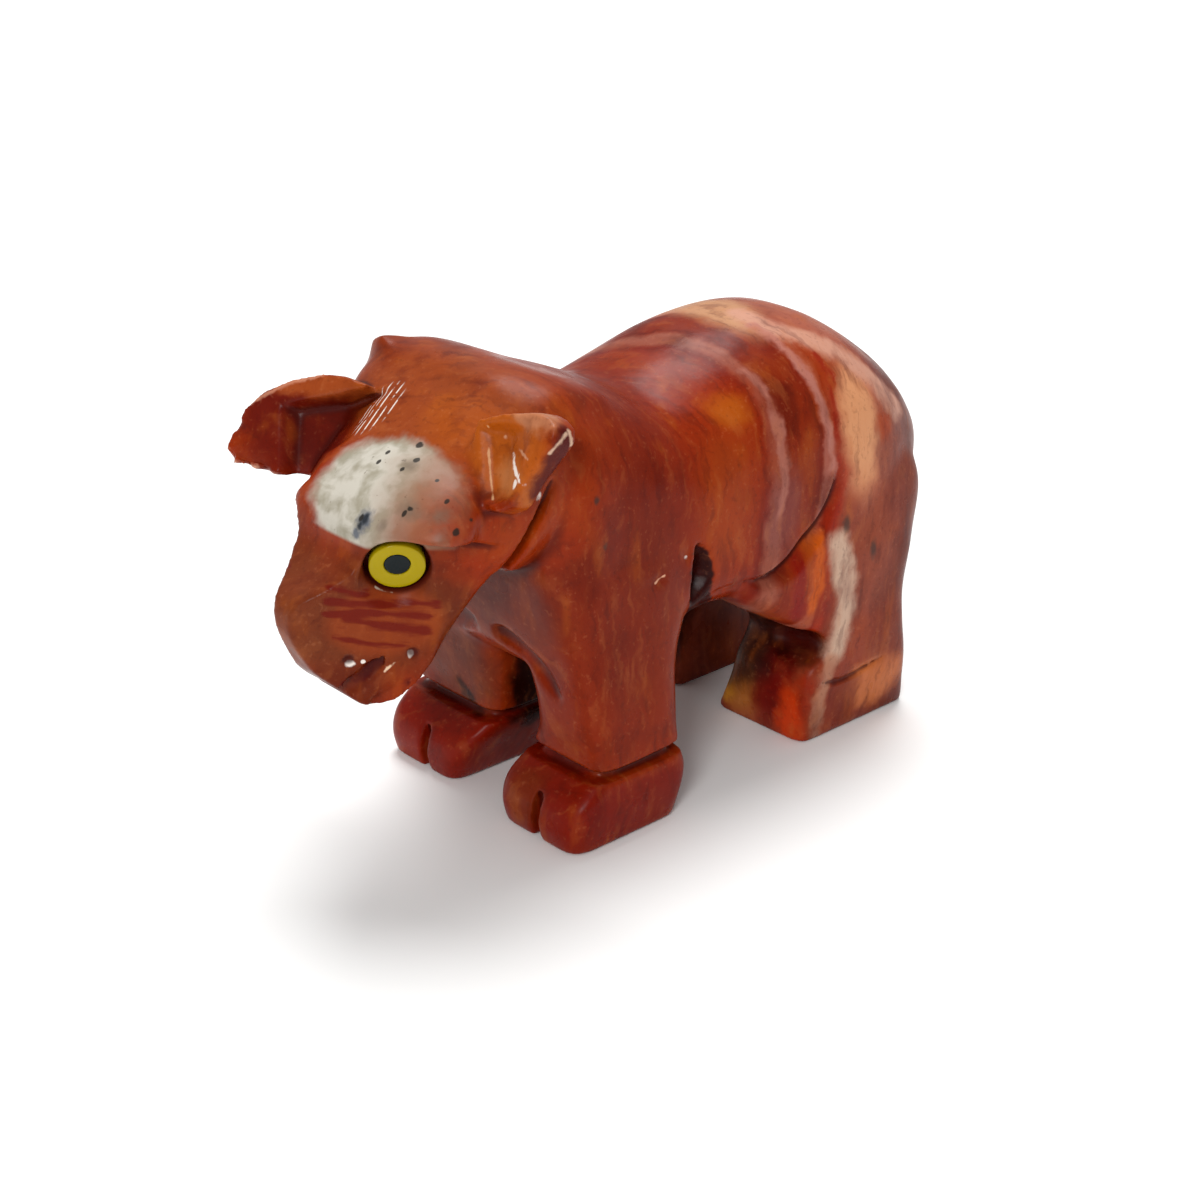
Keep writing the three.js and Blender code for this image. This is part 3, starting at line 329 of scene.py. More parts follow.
# Small marks with ragged edges, some of them painted highlights: colour, softness, share, and the middle and radii of
# each.
MARKS = [
    ("4a5260", 0.6, 0.85, [((2.9, -27.6, 23.9), (0.55, 0.6, 0.8)), ((2.7, -27.9, 23.1), (0.35, 0.5, 0.35))]),
    ("22262c", 0.5, 0.9, [((2.95, -27.55, 24.05), (0.22, 0.3, 0.5)), ((2.75, -27.8, 23.6), (0.2, 0.3, 0.3))]),
    ("6a5a4c", 0.8, 0.6, [((5.4, -26.1, 24.8), (0.7, 0.6, 0.5)), ((7.0, -25.0, 24.6), (0.5, 0.6, 0.4)),
        ((7.6, -25.4, 23.4), (0.4, 0.5, 0.6)), ((3.2, -24.4, 26.6), (0.5, 0.5, 0.3)), ((4.4, -27.3, 23.9),
        (0.3, 0.4, 0.3))]),
    ("26221e", 0.25, 0.92, [((2.2, -22.8, 27.2), (0.29, 0.22, 0.22)), ((0.9, -24.9, 26.3), (0.16, 0.18, 0.25)),
        ((0.8, -24.1, 26.7), (0.18, 0.22, 0.14)), ((3.2, -23.8, 26.8), (0.18, 0.22, 0.25)),
        ((3.0, -24.7, 26.4), (0.14, 0.16, 0.22)), ((6.8, -24.4, 25.3), (0.14, 0.16, 0.22)),
        ((8.1, -24.8, 23.9), (0.18, 0.22, 0.29)), ((5.4, -26.0, 24.9), (0.25, 0.18, 0.14)),
        ((5.3, -26.4, 24.7), (0.14, 0.22, 0.22)), ((2.6, -27.5, 23.9), (0.16, 0.22, 0.36)),
        ((7.9, -23.6, 24.3), (0.18, 0.18, 0.14)), ((5.4, -24.0, 26.2), (0.13, 0.14, 0.18))]),
    ("2e2622", 0.6, 0.75, [((9.6, 7.7, 16.3), (0.5, 0.35, 0.6)), ((9.7, 10.6, 13.7), (0.5, 0.32, 0.65)),
        ((9.5, -14.2, 20.5), (0.4, 0.2, 0.3)), ((9.0, -14.8, 23.6), (0.4, 0.2, 0.25))]),
    # Pale marks: a white nick on the flank, painted highlights in the nostril, in the lip's dimple and on the left
    # ear, and a pale mark by the neck slit.
    ("f4ebe2", 0.35, 0.9, [((9.2, -7.2, 17.8), (0.16, 0.16, 0.16)),
        ((9.4, -21.5, 26.4), (0.24, 0.3, 0.26)), ((2.0, -28.45, 14.6), (0.3, 0.3, 0.2)), ((2.55, -27.9, 14.7),
        (0.12, 0.14, 0.14)),
        ((3.8, -25.3, 14.95), (0.2, 0.2, 0.26)), ((8.6, -18.8, 24.7), (0.24, 0.24, 0.3))]),
]
# Nicks and worn edges along a path, and painted highlights, written like the streaks. The powder of the stone breaks
# them up.
NICKS = [
    # Painted highlights on the left ear's facet and along its facet line.
    ("painted highlight on the left ear's facet", "f4ebe2", 0.17, 0.4, 0.95, [(8.2, -20.7, 27.7), (8.9, -21.1, 27.1),
        (10.0, -21.3, 26.6)]),
    ("painted highlight on the left ear's facet line", "c89474", 0.1, 0.6, 0.7, [(7.3, -20.4, 28.5), (10.1, -21.0, 28.0)]),
    # Crumbled and worn edges of the left ear, lightened further by painted highlights.
    ("crumbled inner edge of the left ear with painted highlights", "d8a878", 0.06, 0.8, 0.65, [(6.21, -20.77, 28.96),
        (6.68, -21.12, 27.38),
        (7.3, -21.51, 26.09), (7.96, -21.92, 25.13)]),
    ("worn rim of the left ear with painted highlights", "e6c0a4", 0.11, 0.9, 0.7, [(11.34, -20.42, 28.56), (11.65, -20.08, 29.1),
        (11.58, -19.42, 29.52)]),
    ("worn tip of the left ear with painted highlights", "e6c0a4", 0.11, 0.9, 0.7, [(11.53, -19.15, 29.63), (11.61, -18.99, 28.77)]),
    # Painted highlights at the lip's corner and on the clear glue under the left eye.
    ("painted highlight at the corner of the lip", "e6c4a4", 0.09, 0.5, 0.9, [(3.34, -26.19, 14.43), (3.08, -26.78, 13.86)]),
    ("painted highlight on the glue under the left eye", "c8b8a4", 0.07, 0.6, 0.7, [(3.0, -27.0, 19.5), (3.2, -26.7, 19.3),
        (3.5, -26.2, 19.1)]),
    ("worn edge of the right ear", "d8a68c", 0.2, 0.9, 0.75, [(-13.1, -27.0, 24.2), (-12.2, -27.1, 23.4),
        (-10.3, -26.6, 23.3),
        (-8.1, -26.0, 23.0)]),
    ("fold of the right ear", "c4866a", 0.14, 0.8, 0.6, [(-8.4, -22.3, 29.0), (-10.6, -23.5, 28.2),
        (-12.6, -25.0, 26.8)]),
    ("shoulder", "e0a888", 0.07, 0.6, 0.8, [(9.3, -10.1, 16.9), (9.3, -9.3, 17.2)]),
]
# The left ear's hollow, where the painted shade of the cuts is mostly held back, as the hollow faces the light.
LIT_EAR_HOLLOW = ((8.2, -20.9, 27.5), (3.0, 1.6, 3.2))
# Broad file bands across each cheek, as half width and path, and the filed area round them.
CHEEK_BANDS = [
    (0.24, [(2.2, -29.79, 19.99), (2.81, -28.88, 19.67), (3.1, -27.81, 19.32)]),
    (0.2, [(2.11, -29.93, 19.1), (3.43, -27.15, 18.58), (5.25, -24.29, 18.4)]),
    (0.2, [(2.01, -29.91, 18.35), (3.4, -27.38, 17.93), (4.9, -24.66, 17.55)]),
    (0.26, [(2.47, -28.91, 17.69), (3.37, -27.18, 17.07), (4.62, -24.87, 16.52)]),
    (0.12, [(1.93, -29.54, 16.59), (2.95, -27.6, 16.01), (4.06, -25.54, 15.48)]),
]
CHEEK_MARKS = ((3.7, -27.0, 17.3), (2.8, 3.8, 2.4))
# The file rows up the right ear, which carry a bump and painted highlights: the way across them, their spacing, and
# the middle and radii of their area.
EAR_MARKS = {"across": (-0.885, 0.116, -0.452), "apart": 0.46, "centre": (-3.5, -21.6, 27.9),
        "radii": (1.3, 2.3, 1.9)}


def line(knots):
    """A smooth line through knots [place, value]: a cubic between each two, whose slope at a knot is the mean of the
    slopes of the chords on either side."""
    places, values = np.array(knots, float).T
    chords = np.diff(values) / np.diff(places)
    slopes = np.concatenate([chords[:1], (chords[1:] + chords[:-1]) / 2, chords[-1:]])

    def at(t):
        """The line's value at a place, held still beyond its ends."""
        t = np.clip(t, places[0], places[-1])
        i = np.clip(np.searchsorted(places, t, "right") - 1, 0, len(places) - 2)
        step = places[i + 1] - places[i]
        p = (t - places[i]) / step
        return (values[i] * (1 + 2 * p) * (1 - p) ** 2 + values[i + 1] * p * p * (3 - 2 * p)
            + slopes[i] * step * p * (1 - p) ** 2 - slopes[i + 1] * step * p * p * (1 - p))

    return at


def rounded(value, roundness):
    """One side of a superellipse of unit radius, for an angle's cosine or sine."""
    return np.sign(value) * np.abs(value) ** (2 / roundness)


def skin(points):
    """A closed skin over a grid of points (rings, sides, 3): each ring is joined to the next all the way round, and
    each end is closed by a fan to its middle. Faces are turned outwards by the sign of the volume."""
    rings, sides = points.shape[:2]
    i, j = np.meshgrid(np.arange(rings - 1), np.arange(sides), indexing="ij")
    a, b = i * sides + j, i * sides + (j + 1) % sides
    wall = np.stack([a, b, b + sides, a, b + sides, a + sides], -1).reshape(-1, 3)
    j = np.arange(sides)
    k, last = (j + 1) % sides, (rings - 1) * sides
    ends = [np.stack([np.full(sides, rings * sides), k, j], -1),
        np.stack([np.full(sides, rings * sides + 1), last + j, last + k], -1)]
    vertices = np.concatenate([points.reshape(-1, 3), points[[0, -1]].mean(1)])
    faces = np.concatenate([wall, *ends])
    p, q, r = vertices[faces].transpose(1, 0, 2)
    if np.einsum("ij,ij->", p, np.cross(q, r)) < 0:
        faces = faces[:, ::-1]
    return vertices, faces


def together(*skins):
    """Several closed skins as one list of points and faces."""
    starts = np.cumsum([0] + [len(vertices) for vertices, _ in skins])
    return (np.concatenate([vertices for vertices, _ in skins]),
        np.concatenate([faces + start for (_, faces), start in zip(skins, starts)]))


def grid(rings, sides):
    """The two parameters of a loft: t from 0 to 1 down the rows and the turn round each ring down the columns."""
    return np.linspace(0, 1, rings)[:, None], np.linspace(0, 2 * math.pi, sides, endpoint=False)[None, :]


def trunk():
    """Superellipse sections carried along Y: half width, back and belly follow their lines."""
    t, turn = grid(150, 200)
    y = BACK_LINE[0][0] + (BACK_LINE[-1][0] - BACK_LINE[0][0]) * t
    roundness = np.where(np.sin(turn) > 0, line(BACK_ROUNDNESS)(y), BELLY_ROUNDNESS)
    across, up = rounded(np.cos(turn), roundness), rounded(np.sin(turn), roundness)
    reach = np.where(up > 0, line(BACK_LINE)(y) - WIDEST_HEIGHT, WIDEST_HEIGHT - line(BELLY_LINE)(y))
    return skin(np.stack([line(TRUNK_HALF_WIDTH)(y) * across, y + 0 * turn, WIDEST_HEIGHT + reach * up], -1))


def leg(one, inset=0.0):
    """Rounded rectangles carried up Z between the front, back, inner and outer lines, drawn in by the inset."""
    t, turn = grid(110, 120)
    z = LEG_TOP * t
    lines = {word: line(knots)(z) for word, knots in one["line"].items()}
    y0, y1 = lines["front"] + one["back"], lines["back"]
    x0, x1 = lines["inner"], lines["outer"] + one["outer"]
    roundness = lines["roundness"]
    across, along = rounded(np.cos(turn), roundness), rounded(np.sin(turn), roundness)
    return skin(np.stack([one["side"] * ((x0 + x1) / 2 + across * ((x1 - x0) / 2 - inset)),
        (y0 + y1) / 2 + along * ((y1 - y0) / 2 - inset), z + 0 * turn], -1))


def head_point(x, s, b):
    """A point of the head's own frame, in the figure's frame."""
    c, d = math.cos(HEAD_PITCH), math.sin(HEAD_PITCH)
    x, s, b = np.broadcast_arrays(x, s, b)
    return np.stack([x, -s * c - b * d, -s * d + b * c], -1) + HEAD_ORIGIN


def head():
    """Superellipse sections carried down the face, between the face line and the jaw line."""
    t, turn = grid(140, 160)
    s = NAPE_END + (MUZZLE_END - NAPE_END) * t
    roundness = np.where(np.cos(turn) > 0, line(HEAD_ROUNDNESS_LEFT)(s), line(HEAD_ROUNDNESS_RIGHT)(s))
    across, out = rounded(np.cos(turn), roundness), rounded(np.sin(turn), roundness)
    front, under = line(FACE_LINE)(s), line(JAW_LINE)(s)
    width = line(HEAD_HALF_WIDTH)(s) + np.where(across < 0, line(NAPE_CORNER)(s), 0)
    return skin(head_point(width * across, s + 0 * turn, (front + under) / 2 + out * (front - under) / 2))


def tail():
    """An oval carried down the middle of the rump, its size falling to nothing at both ends."""
    t, turn = grid(60, 48)
    places = np.array(TAIL["line"], float)
    steps = np.linspace(0, 1, len(places))
    y, z = (line(np.stack([steps, places[:, k]], -1))(t) for k in (0, 1))
    dy, dz = np.gradient(y, axis=0), np.gradient(z, axis=0)
    long = np.hypot(dy, dz)
    full = np.sqrt(np.maximum(0.02, 1 - (2 * t - 1) ** 6))
    high = TAIL["height"] * full * np.sin(turn)
    return skin(np.stack([TAIL["width"] * full * np.cos(turn), y - high * dz / long, z + high * dy / long], -1))


def prism(corners, way, taper=1.0):
    """A flat outline carried along a straight way, drawn in to the taper at the far end."""
    near = np.array(corners, float)
    middle = near.mean(0)
    return skin(np.stack([near, middle + (near - middle) * taper + np.array(way, float)]))


def slab(face, thickness):
    """A prism behind a flat face, as thick as asked, along the face's normal away from the viewer."""
    corners = np.array(face, float)
    middle = corners.mean(0)
    normal = np.cross(corners - middle, np.roll(corners, -1, 0) - middle).sum(0)
    normal /= np.linalg.norm(normal) * (1 if normal[1] > 0 else -1)
    flat = corners - np.outer((corners - middle) @ normal, normal)
    return prism(flat, normal * thickness)


def hollow(mouth, floor):
    """A cut with as many corners at its mouth as at its floor, joined straight."""
    return skin(np.stack([np.array(mouth, float), np.array(floor, float)]))


def flank(side):
    """The cut under the barrel: a section with a steep wall above and a long shallow one below, carried along the
    crease and as deep as asked at each point of it."""
    places = np.array(FLANK_CREASE, float)
    t = np.linspace(0, 1, 60)[:, None]
    steps = np.linspace(0, 1, len(places))
    y, z, depth = (line(np.stack([steps, places[:, k]], -1))(t) for k in range(3))
    dy, dz = np.gradient(y, axis=0), np.gradient(z, axis=0)
    long = np.hypot(dy, dz)
    down_y, down_z = dz / long, -dy / long
    section = np.array(FLANK_SECTION)
    run, rise = section[None, :, 0] * np.minimum(1, depth / FLANK_FULL_DEPTH), section[None, :, 1]
    x = FLANK_SKIN + np.where(rise < 0, rise * depth, rise)
    return skin(np.stack([side * x, y + down_y * run, z + down_z * run], -1))


def wedge(notch, side):
    """A filed notch: its corners seen from the side, full size at the skin and drawn in towards the front inside."""
    corners = np.array(notch["corners"])
    front = corners.mean(0) - np.array([notch["inner_forward"], 0])
    rows = [np.insert(front + (corners - front) * scale, 0, side * notch[reach], 1)
        for reach, scale in (("inside", notch["inner_size"]), ("outside", 1.0))]
    return skin(np.stack(rows))


def ball(centre, radii, turned=None):
    """An ellipsoid: rings of latitude scaled by the three radii, then turned and moved."""
    t, turn = grid(26, 48)
    high = (t - 0.5) * math.pi * 0.998
    points = np.stack([np.cos(high) * np.cos(turn), np.cos(high) * np.sin(turn), np.sin(high) + 0 * turn], -1) * radii
    return skin((points if turned is None else points @ np.array(turned).T) + np.array(centre))


def stroke(path, width, depth, out, fade=0.0):
    """A file stroke: an oval section carried along a smooth path, as wide and deep as asked, set square to the
    outward direction, and narrowing towards its ends by the share given."""
    places = np.array(path, float)
    t, turn = grid(8 * len(places), 16)
    steps = np.linspace(0, 1, len(places))
    middle = np.concatenate([line(np.stack([steps, places[:, k]], -1))(t) for k in range(3)], 1)
    along = np.gradient(middle, axis=0)
    along /= np.linalg.norm(along, axis=1, keepdims=True)
    across = np.cross(along, np.array(out, float))
    across /= np.linalg.norm(across, axis=1, keepdims=True)
    up = np.cross(across, along)
    full = 1 - fade * np.abs(2 * t - 1) ** 3
    return skin(middle[:, None] + (full * width / 2 * np.cos(turn))[..., None] * across[:, None]
        + (full * depth * np.sin(turn))[..., None] * up[:, None])


# Meshes and the stone-cutting steps.
def make_mesh(name, solid, scale=1.0):
    """A Blender mesh from points and triangles given as whole arrays."""
    vertices, faces = solid
    mesh = bpy.data.meshes.new(name)
    mesh.vertices.add(len(vertices))
    mesh.vertices.foreach_set("co", (vertices * scale).astype(np.float32).ravel())
    mesh.loops.add(faces.size)
    mesh.loops.foreach_set("vertex_index", faces.astype(np.int32).ravel())
    mesh.polygons.add(len(faces))
    mesh.polygons.foreach_set("loop_start", np.arange(0, faces.size, 3, dtype=np.int32))
    mesh.update(calc_edges=True)
    return mesh


def worked(mesh, kind, **settings):
    """The mesh after one modifier of that kind."""
    blank = bpy.data.objects.new("blank", mesh)
    bpy.context.scene.collection.objects.link(blank)
    step = blank.modifiers.new(kind, kind)
    for word, value in settings.items():
        setattr(step, word, value)
    graph = bpy.context.evaluated_depsgraph_get()
    made = bpy.data.meshes.new_from_object(blank.evaluated_get(graph))
    bpy.data.objects.remove(blank)
    bpy.data.meshes.remove(mesh)
    return made


def boolean(mesh, solid, operation="DIFFERENCE"):
    """The mesh joined with or cut by a closed solid."""
    tool = bpy.data.objects.new("tool", make_mesh("tool", solid))
    bpy.context.scene.collection.objects.link(tool)
    made = worked(mesh, "BOOLEAN", object=tool, operation=operation, solver="MANIFOLD")
    shape = tool.data
    bpy.data.objects.remove(tool)
    bpy.data.meshes.remove(shape)
    return made


def points_of(mesh):
    """A mesh's points as rows of x, y and z."""
    places = np.empty(3 * len(mesh.vertices), np.float32)
    mesh.vertices.foreach_get("co", places)
    return places.reshape(-1, 3).astype(float)


def put_points(mesh, places):
    """Points put back into their mesh, in the same order."""
    mesh.vertices.foreach_set("co", places.astype(np.float32).ravel())
    mesh.update()


def softened(mesh, places, rounds, share=1.0):
    """Points moved towards the mean of their neighbours, round after round; the share may differ by point."""
    edges = np.empty(2 * len(mesh.edges), np.int32)
    mesh.edges.foreach_get("vertices", edges)
    a, b = edges.reshape(-1, 2).T
    ends, others = np.concatenate([a, b]), np.concatenate([b, a])
    number = len(places)
    count = np.maximum(np.bincount(ends, minlength=number), 1)[:, None]
    share = np.broadcast_to(np.asarray(share, float), (number,))[:, None] if np.ndim(share) else share
    for _ in range(rounds):
        mean = np.stack([np.bincount(ends, places[others, k], number) for k in range(3)], -1) / count
        places = places + 0.5 * share * (mean - places)
    return places


def normals_of(mesh):
    """The outward direction at each point of a mesh."""
    normals = np.empty(3 * len(mesh.vertices), np.float32)
    mesh.vertex_normals.foreach_get("vector", normals)
    return normals.reshape(-1, 3).astype(float)


def rough_out():
    """The rough figure: trunk, head, tail and legs run into one skin, with the joins rubbed soft."""
    shells = together(trunk(), head(), tail(), slab(POLL["face"], POLL["thickness"]), *[leg(one) for one in LEGS])
    mesh = worked(make_mesh("stone", shells), "REMESH", mode="VOXEL", voxel_size=ROUGH_VOXEL)
    mesh = boolean(mesh, boss(), "UNION")
    for side in (1, -1):
        mesh = boolean(mesh, ball(np.array(FOOT_HOLLOW["centre"]) * [side, 1, 1], FOOT_HOLLOW["radii"]))
    mesh = worked(mesh, "REMESH", mode="VOXEL", voxel_size=ROUGH_VOXEL)
    places = points_of(mesh)
    share = np.clip((places[:, 2] - UNRUBBED["below"]) / UNRUBBED["over"], UNRUBBED["share"], 1)
    put_points(mesh, softened(mesh, places, ROUGH_RUBS, share))
    return mesh


def on_cheek(side, y, z):
    """The point of a cheek's filed plane at that y and z."""
    x = (CHEEK_DISTANCE - CHEEK_NORMAL[1] * y - CHEEK_NORMAL[2] * z) / CHEEK_NORMAL[0]
    return np.array([side * x, y, z])


def solid_of(mesh):
    """A triangle mesh's points and faces."""
    mesh.calc_loop_triangles()
    faces = np.empty(3 * len(mesh.loop_triangles), np.int32)
    mesh.loop_triangles.foreach_get("vertices", faces)
    return points_of(mesh), faces.reshape(-1, 3)


def boss():
    """The ball over the left brow, cut off flat at its lower edge."""
    c, d = math.cos(HEAD_PITCH), math.sin(HEAD_PITCH)
    turned = np.array([[1, 0, 0], [0, -c, -d], [0, -d, c]])
    made = make_mesh("boss", ball(head_point(*BOSS["centre"]), BOSS["radii"], turned))
    under = prism([[x, y, BOSS["edge"]] for x, y in ((-20, -40), (20, -40), (20, -10), (-20, -10))], [0, 0, -20])
    return solid_of(boolean(made, under))


def filed(mesh, mark, side, out):
    """The mesh with a file stroke cut in it, on that side of the figure."""
    path = np.array(mark["path"]) * [side, 1, 1]
    return boolean(mesh, stroke(path, mark["width"], mark["depth"], out, mark.get("fade", 0.0)))


def hoof(mesh, one):
    """A front hoof: a groove all round above it, and a cleft up its front."""
    low = HOOF_HEIGHT - HOOF_GROOVE["width"] / 2
    near, far, wide = HOOF_GROOVE["front"], HOOF_GROOVE["back"], HOOF_GROOVE["out"]
    ring = prism([[one["side"] * x, y, low] for x, y in ((0, near), (wide, near), (wide, far), (0, far))],
        [0, 0, HOOF_GROOVE["width"]])
    mesh = boolean(mesh, solid_of(boolean(make_mesh("ring", ring), leg(one, HOOF_GROOVE["depth"]))))
    x, y = one["side"] * one["cleft"], line(one["line"]["front"])(1.6) + one["back"]
    w, d = HOOF_CLEFT["width"] / 2, HOOF_CLEFT["depth"]
    return boolean(mesh, prism([[x - w, y - d, -1], [x + w, y - d, -1], [x + w, y + d, -1], [x - w, y + d, -1]],
        [0, 0, HOOF_CLEFT["height"] + 1]))


def carve_stone():
    """The figure with its ears added and every cut made: throat, cheeks, notches, creases, hooves, mouth, chin,
    chest, nostrils, ear hollows and eye sockets."""
    mesh = rough_out()
    for ear in (LEFT_EAR, RIGHT_EAR):
        mesh = boolean(mesh, slab(ear["face"], ear["thickness"]), "UNION")
    mesh = boolean(mesh, prism([[12, y, z] for y, z in THROAT], [-24, 0, 0]))
    for side in (1, -1):
        cheek = [on_cheek(side, y, z) for y, z in BROW_LEDGE + CHEEK_LOW]
        mesh = boolean(mesh, prism(cheek, [20 * side, 0, 0]))
        mesh = boolean(mesh, wedge(ELBOW_NOTCH, side))
        mesh = filed(mesh, NECK_SLIT, side, [side, 0, 0])
        mesh = boolean(mesh, flank(side))
        mesh = filed(mesh, REAR_GROOVE, side, [side, 0, 0])
    for one in LEGS[:2]:
        mesh = hoof(mesh, one)
    mesh = filed(mesh, MOUTH, 1, [0, 0, 1])
    for side in (1, -1):
        mesh = filed(mesh, CHIN_STROKE, side, [0, 0, 1])
        mesh = filed(mesh, CHEST_STROKE, side, [0, -1, 0])
        for pit in (NOSTRIL, LIP_DIMPLE):
            x, s, b = pit["place"]
            mesh = boolean(mesh, ball(head_point(side * x, s, b), [pit["radius"]] * 3))
    for ear in (LEFT_EAR, RIGHT_EAR):
        mesh = boolean(mesh, hollow(ear["mouth"], ear["floor"]))
    for side in (1, -1):
        mesh = boolean(mesh, lathe(side, [[SOCKET_RADIUS, -SOCKET_DEPTH, 0], [SOCKET_RADIUS, 0, 0],
            [FLARE["radius"], FLARE["height"], 0]]))
    return mesh


def lathe(side, profile, ring=False):
    """A profile of [radius, height, rise] turned round an eye's axis: the rise lifts that row towards the brow.
    A ring is closed from its last row back to its first, instead of by a fan at each end."""
    radius, height, rise = (column[:, None] for column in np.array(profile, float).T)
    turn = np.linspace(0, 2 * math.pi, 96, endpoint=False)[None, :]
    out = EYE_NORMAL * [side, 1, 1]
    across = np.cross([0, 0, 1], out)
    across /= np.linalg.norm(across)
    up = np.cross(out, across)
    points = (EYE_PLACE * [side, 1, 1] + (radius * np.cos(turn))[..., None] * across
        + (radius * np.sin(turn) + rise)[..., None] * up + (height + 0 * turn)[..., None] * out)
    if not ring:
        return skin(points)
    rings, sides = points.shape[:2]
    a, b = np.meshgrid(np.arange(rings), np.arange(sides), indexing="ij")
    c, d = (a + 1) % rings, (b + 1) % sides
    near, next_near, next_far, far = a * sides + b, a * sides + d, c * sides + d, c * sides + b
    faces = np.concatenate([np.stack(three, -1).reshape(-1, 3)
        for three in ((near, next_near, next_far), (near, next_far, far))])
    p, q, r = points.reshape(-1, 3)[faces].transpose(1, 0, 2)
    return points.reshape(-1, 3), faces if np.einsum("ij,ij->", p, np.cross(q, r)) > 0 else faces[:, ::-1]


def finished(mesh):
    """The carved stone in fine even triangles, with its edges rubbed, slightly uneven from handwork. The note hollow
    says how far each point lies below its surroundings, in mm."""
    mesh = worked(mesh, "REMESH", mode="VOXEL", voxel_size=FINE_VOXEL)
    put_points(mesh, softened(mesh, points_of(mesh), FINE_RUBS))
    mesh = worked(mesh, "DECIMATE", decimate_type="COLLAPSE", ratio=MOST_TRIANGLES / (2 * len(mesh.polygons)))
    places, normals = points_of(mesh), normals_of(mesh)
    cavity = ((softened(mesh, places, HOLLOW_ROUNDS) - places) * normals).sum(1)
    dice = np.random.default_rng(WOBBLE["seed"])
    swell = np.zeros(len(places))
    for _ in range(WOBBLE["waves"]):
        way = dice.normal(size=3)
        way *= 2 * math.pi / (np.linalg.norm(way) * dice.uniform(*WOBBLE["length"]))
        swell += np.sin(places @ way + dice.uniform(0, 2 * math.pi))
    high = np.clip(places[:, 2] / WOBBLE["foot"], 0, 1) * (WOBBLE["top"] - places[:, 2]).clip(0, 1)
    places = places + normals * (WOBBLE["height"] * swell * high / math.sqrt(WOBBLE["waves"]))[:, None]
    for centre, radius, depth in CHIPS:
        far = np.linalg.norm(places - centre, axis=1) / radius
        places = places - normals * (depth * np.exp(-far ** 4))[:, None]
    put_points(mesh, (places + shift) * MM)
    note = mesh.attributes.new("hollow", "FLOAT", "POINT")
    note.data.foreach_set("value", cavity.astype(np.float32))
    mesh.shade_smooth()
    return mesh


def place(name, mesh, slot, *nodes):
    """A piece that rides on the figure and stands for those CAD nodes."""
    piece = bpy.data.objects.new(name, mesh)
    bpy.context.scene.collection.objects.link(piece)
    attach(piece, "root")
    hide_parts(*nodes)
    return piece


def shaded(mesh, material):
    """A mesh given its finish and smooth shading."""
    mesh.materials.clear()
    mesh.materials.append(material)
    mesh.shade_smooth()


# The modelled figure is moved over the origin by as much as the CAD's pupil lies from the pupil modelled here.
pupil_box = np.array([list(corner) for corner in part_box("pupil_left")]) / MM
brow_way = np.cross(EYE_NORMAL, np.cross([0, 0, 1], EYE_NORMAL))
brow_way /= np.linalg.norm(brow_way)
pupil_middle = EYE_PLACE + EYE_NORMAL * (EYE_PROUD - EYE_DEPTH) / 2 + brow_way * PUPIL_RISE
shift = pupil_box.mean(0) - pupil_middle
shift[2] = 0


# Finishes. Colours are written as sRGB and pattern sizes in mm.
def linear(colour):
    """An sRGB hex colour as linear red, green, blue and full opacity."""
    parts = np.array([int(colour[i:i + 2], 16) for i in (0, 2, 4)]) / 255
    return (*np.where(parts <= 0.04045, parts / 12.92, ((parts + 0.055) / 1.055) ** 2.4), 1)


def add(tree, kind, inputs=(), **settings):
    """A shader node of that kind, set up. Sockets among its inputs are linked and plain values are written in."""
    made = tree.nodes.new("ShaderNode" + kind)
    for word, value in settings.items():
        setattr(made, word, value)
    for key, value in dict(inputs).items():
        if isinstance(value, bpy.types.NodeSocket):
            tree.links.new(value, made.inputs[key])
        else:
            made.inputs[key].default_value = value
    return made


def maths(tree, how, *values):
    """One step of arithmetic on numbers or sockets."""
    return add(tree, "Math", enumerate(values), operation=how).outputs[0]


def spots(tree, how, *values):
    """One step of arithmetic on places, giving a place, or a number for a length or a dot product."""
    made = add(tree, "VectorMath", enumerate(values), operation=how)
    return made.outputs["Value" if how in ("LENGTH", "DOT_PRODUCT") else "Vector"]


def eased(tree, value, low, high):
    """0 where the value is at low and 1 where it is at high, with a smooth rise between."""
    return add(tree, "MapRange", {"Value": value, "From Min": low, "From Max": high},
        interpolation_type="SMOOTHSTEP").outputs[0]


def grain(tree, where, size, detail=2.0):
    """Noise from 0 to 1, its lumps about as long as asked along each axis, in mm."""
    scaled = spots(tree, "DIVIDE", where, tuple(np.broadcast_to(size, 3).tolist()))
    return add(tree, "TexNoise", {"Vector": scaled, "Scale": 1.0, "Detail": detail}).outputs["Fac"]


def far_from(tree, where, centre, radii):
    """How far a spot is from the middle of an egg shape: 1 at its skin."""
    away = spots(tree, "DIVIDE", spots(tree, "SUBTRACT", where, tuple(centre)), tuple(radii))
    return spots(tree, "LENGTH", away)


def blot(tree, where, centre, radii, soft=0.3):
    """1 inside an egg shape and 0 outside it, with an edge as soft as asked."""
    return eased(tree, far_from(tree, where, centre, radii), 1 + soft, 1 - soft)


def near_path(tree, where, path):
    """How far a spot is from a path of straight lines, in mm."""
    nearest = None
    for start, end in zip(np.array(path[:-1], float), np.array(path[1:], float)):
        way = end - start
        away = spots(tree, "SUBTRACT", where, tuple(start))
        share = maths(tree, "MINIMUM", 1.0, maths(tree, "MAXIMUM", 0.0, spots(tree, "DOT_PRODUCT", away,
            tuple(way / (way @ way)))))
        foot = spots(tree, "MULTIPLY", add(tree, "CombineXYZ", {0: share, 1: share, 2: share}).outputs[0], tuple(way))
        far = spots(tree, "LENGTH", spots(tree, "SUBTRACT", away, foot))
        nearest = far if nearest is None else maths(tree, "MINIMUM", nearest, far)
    return nearest


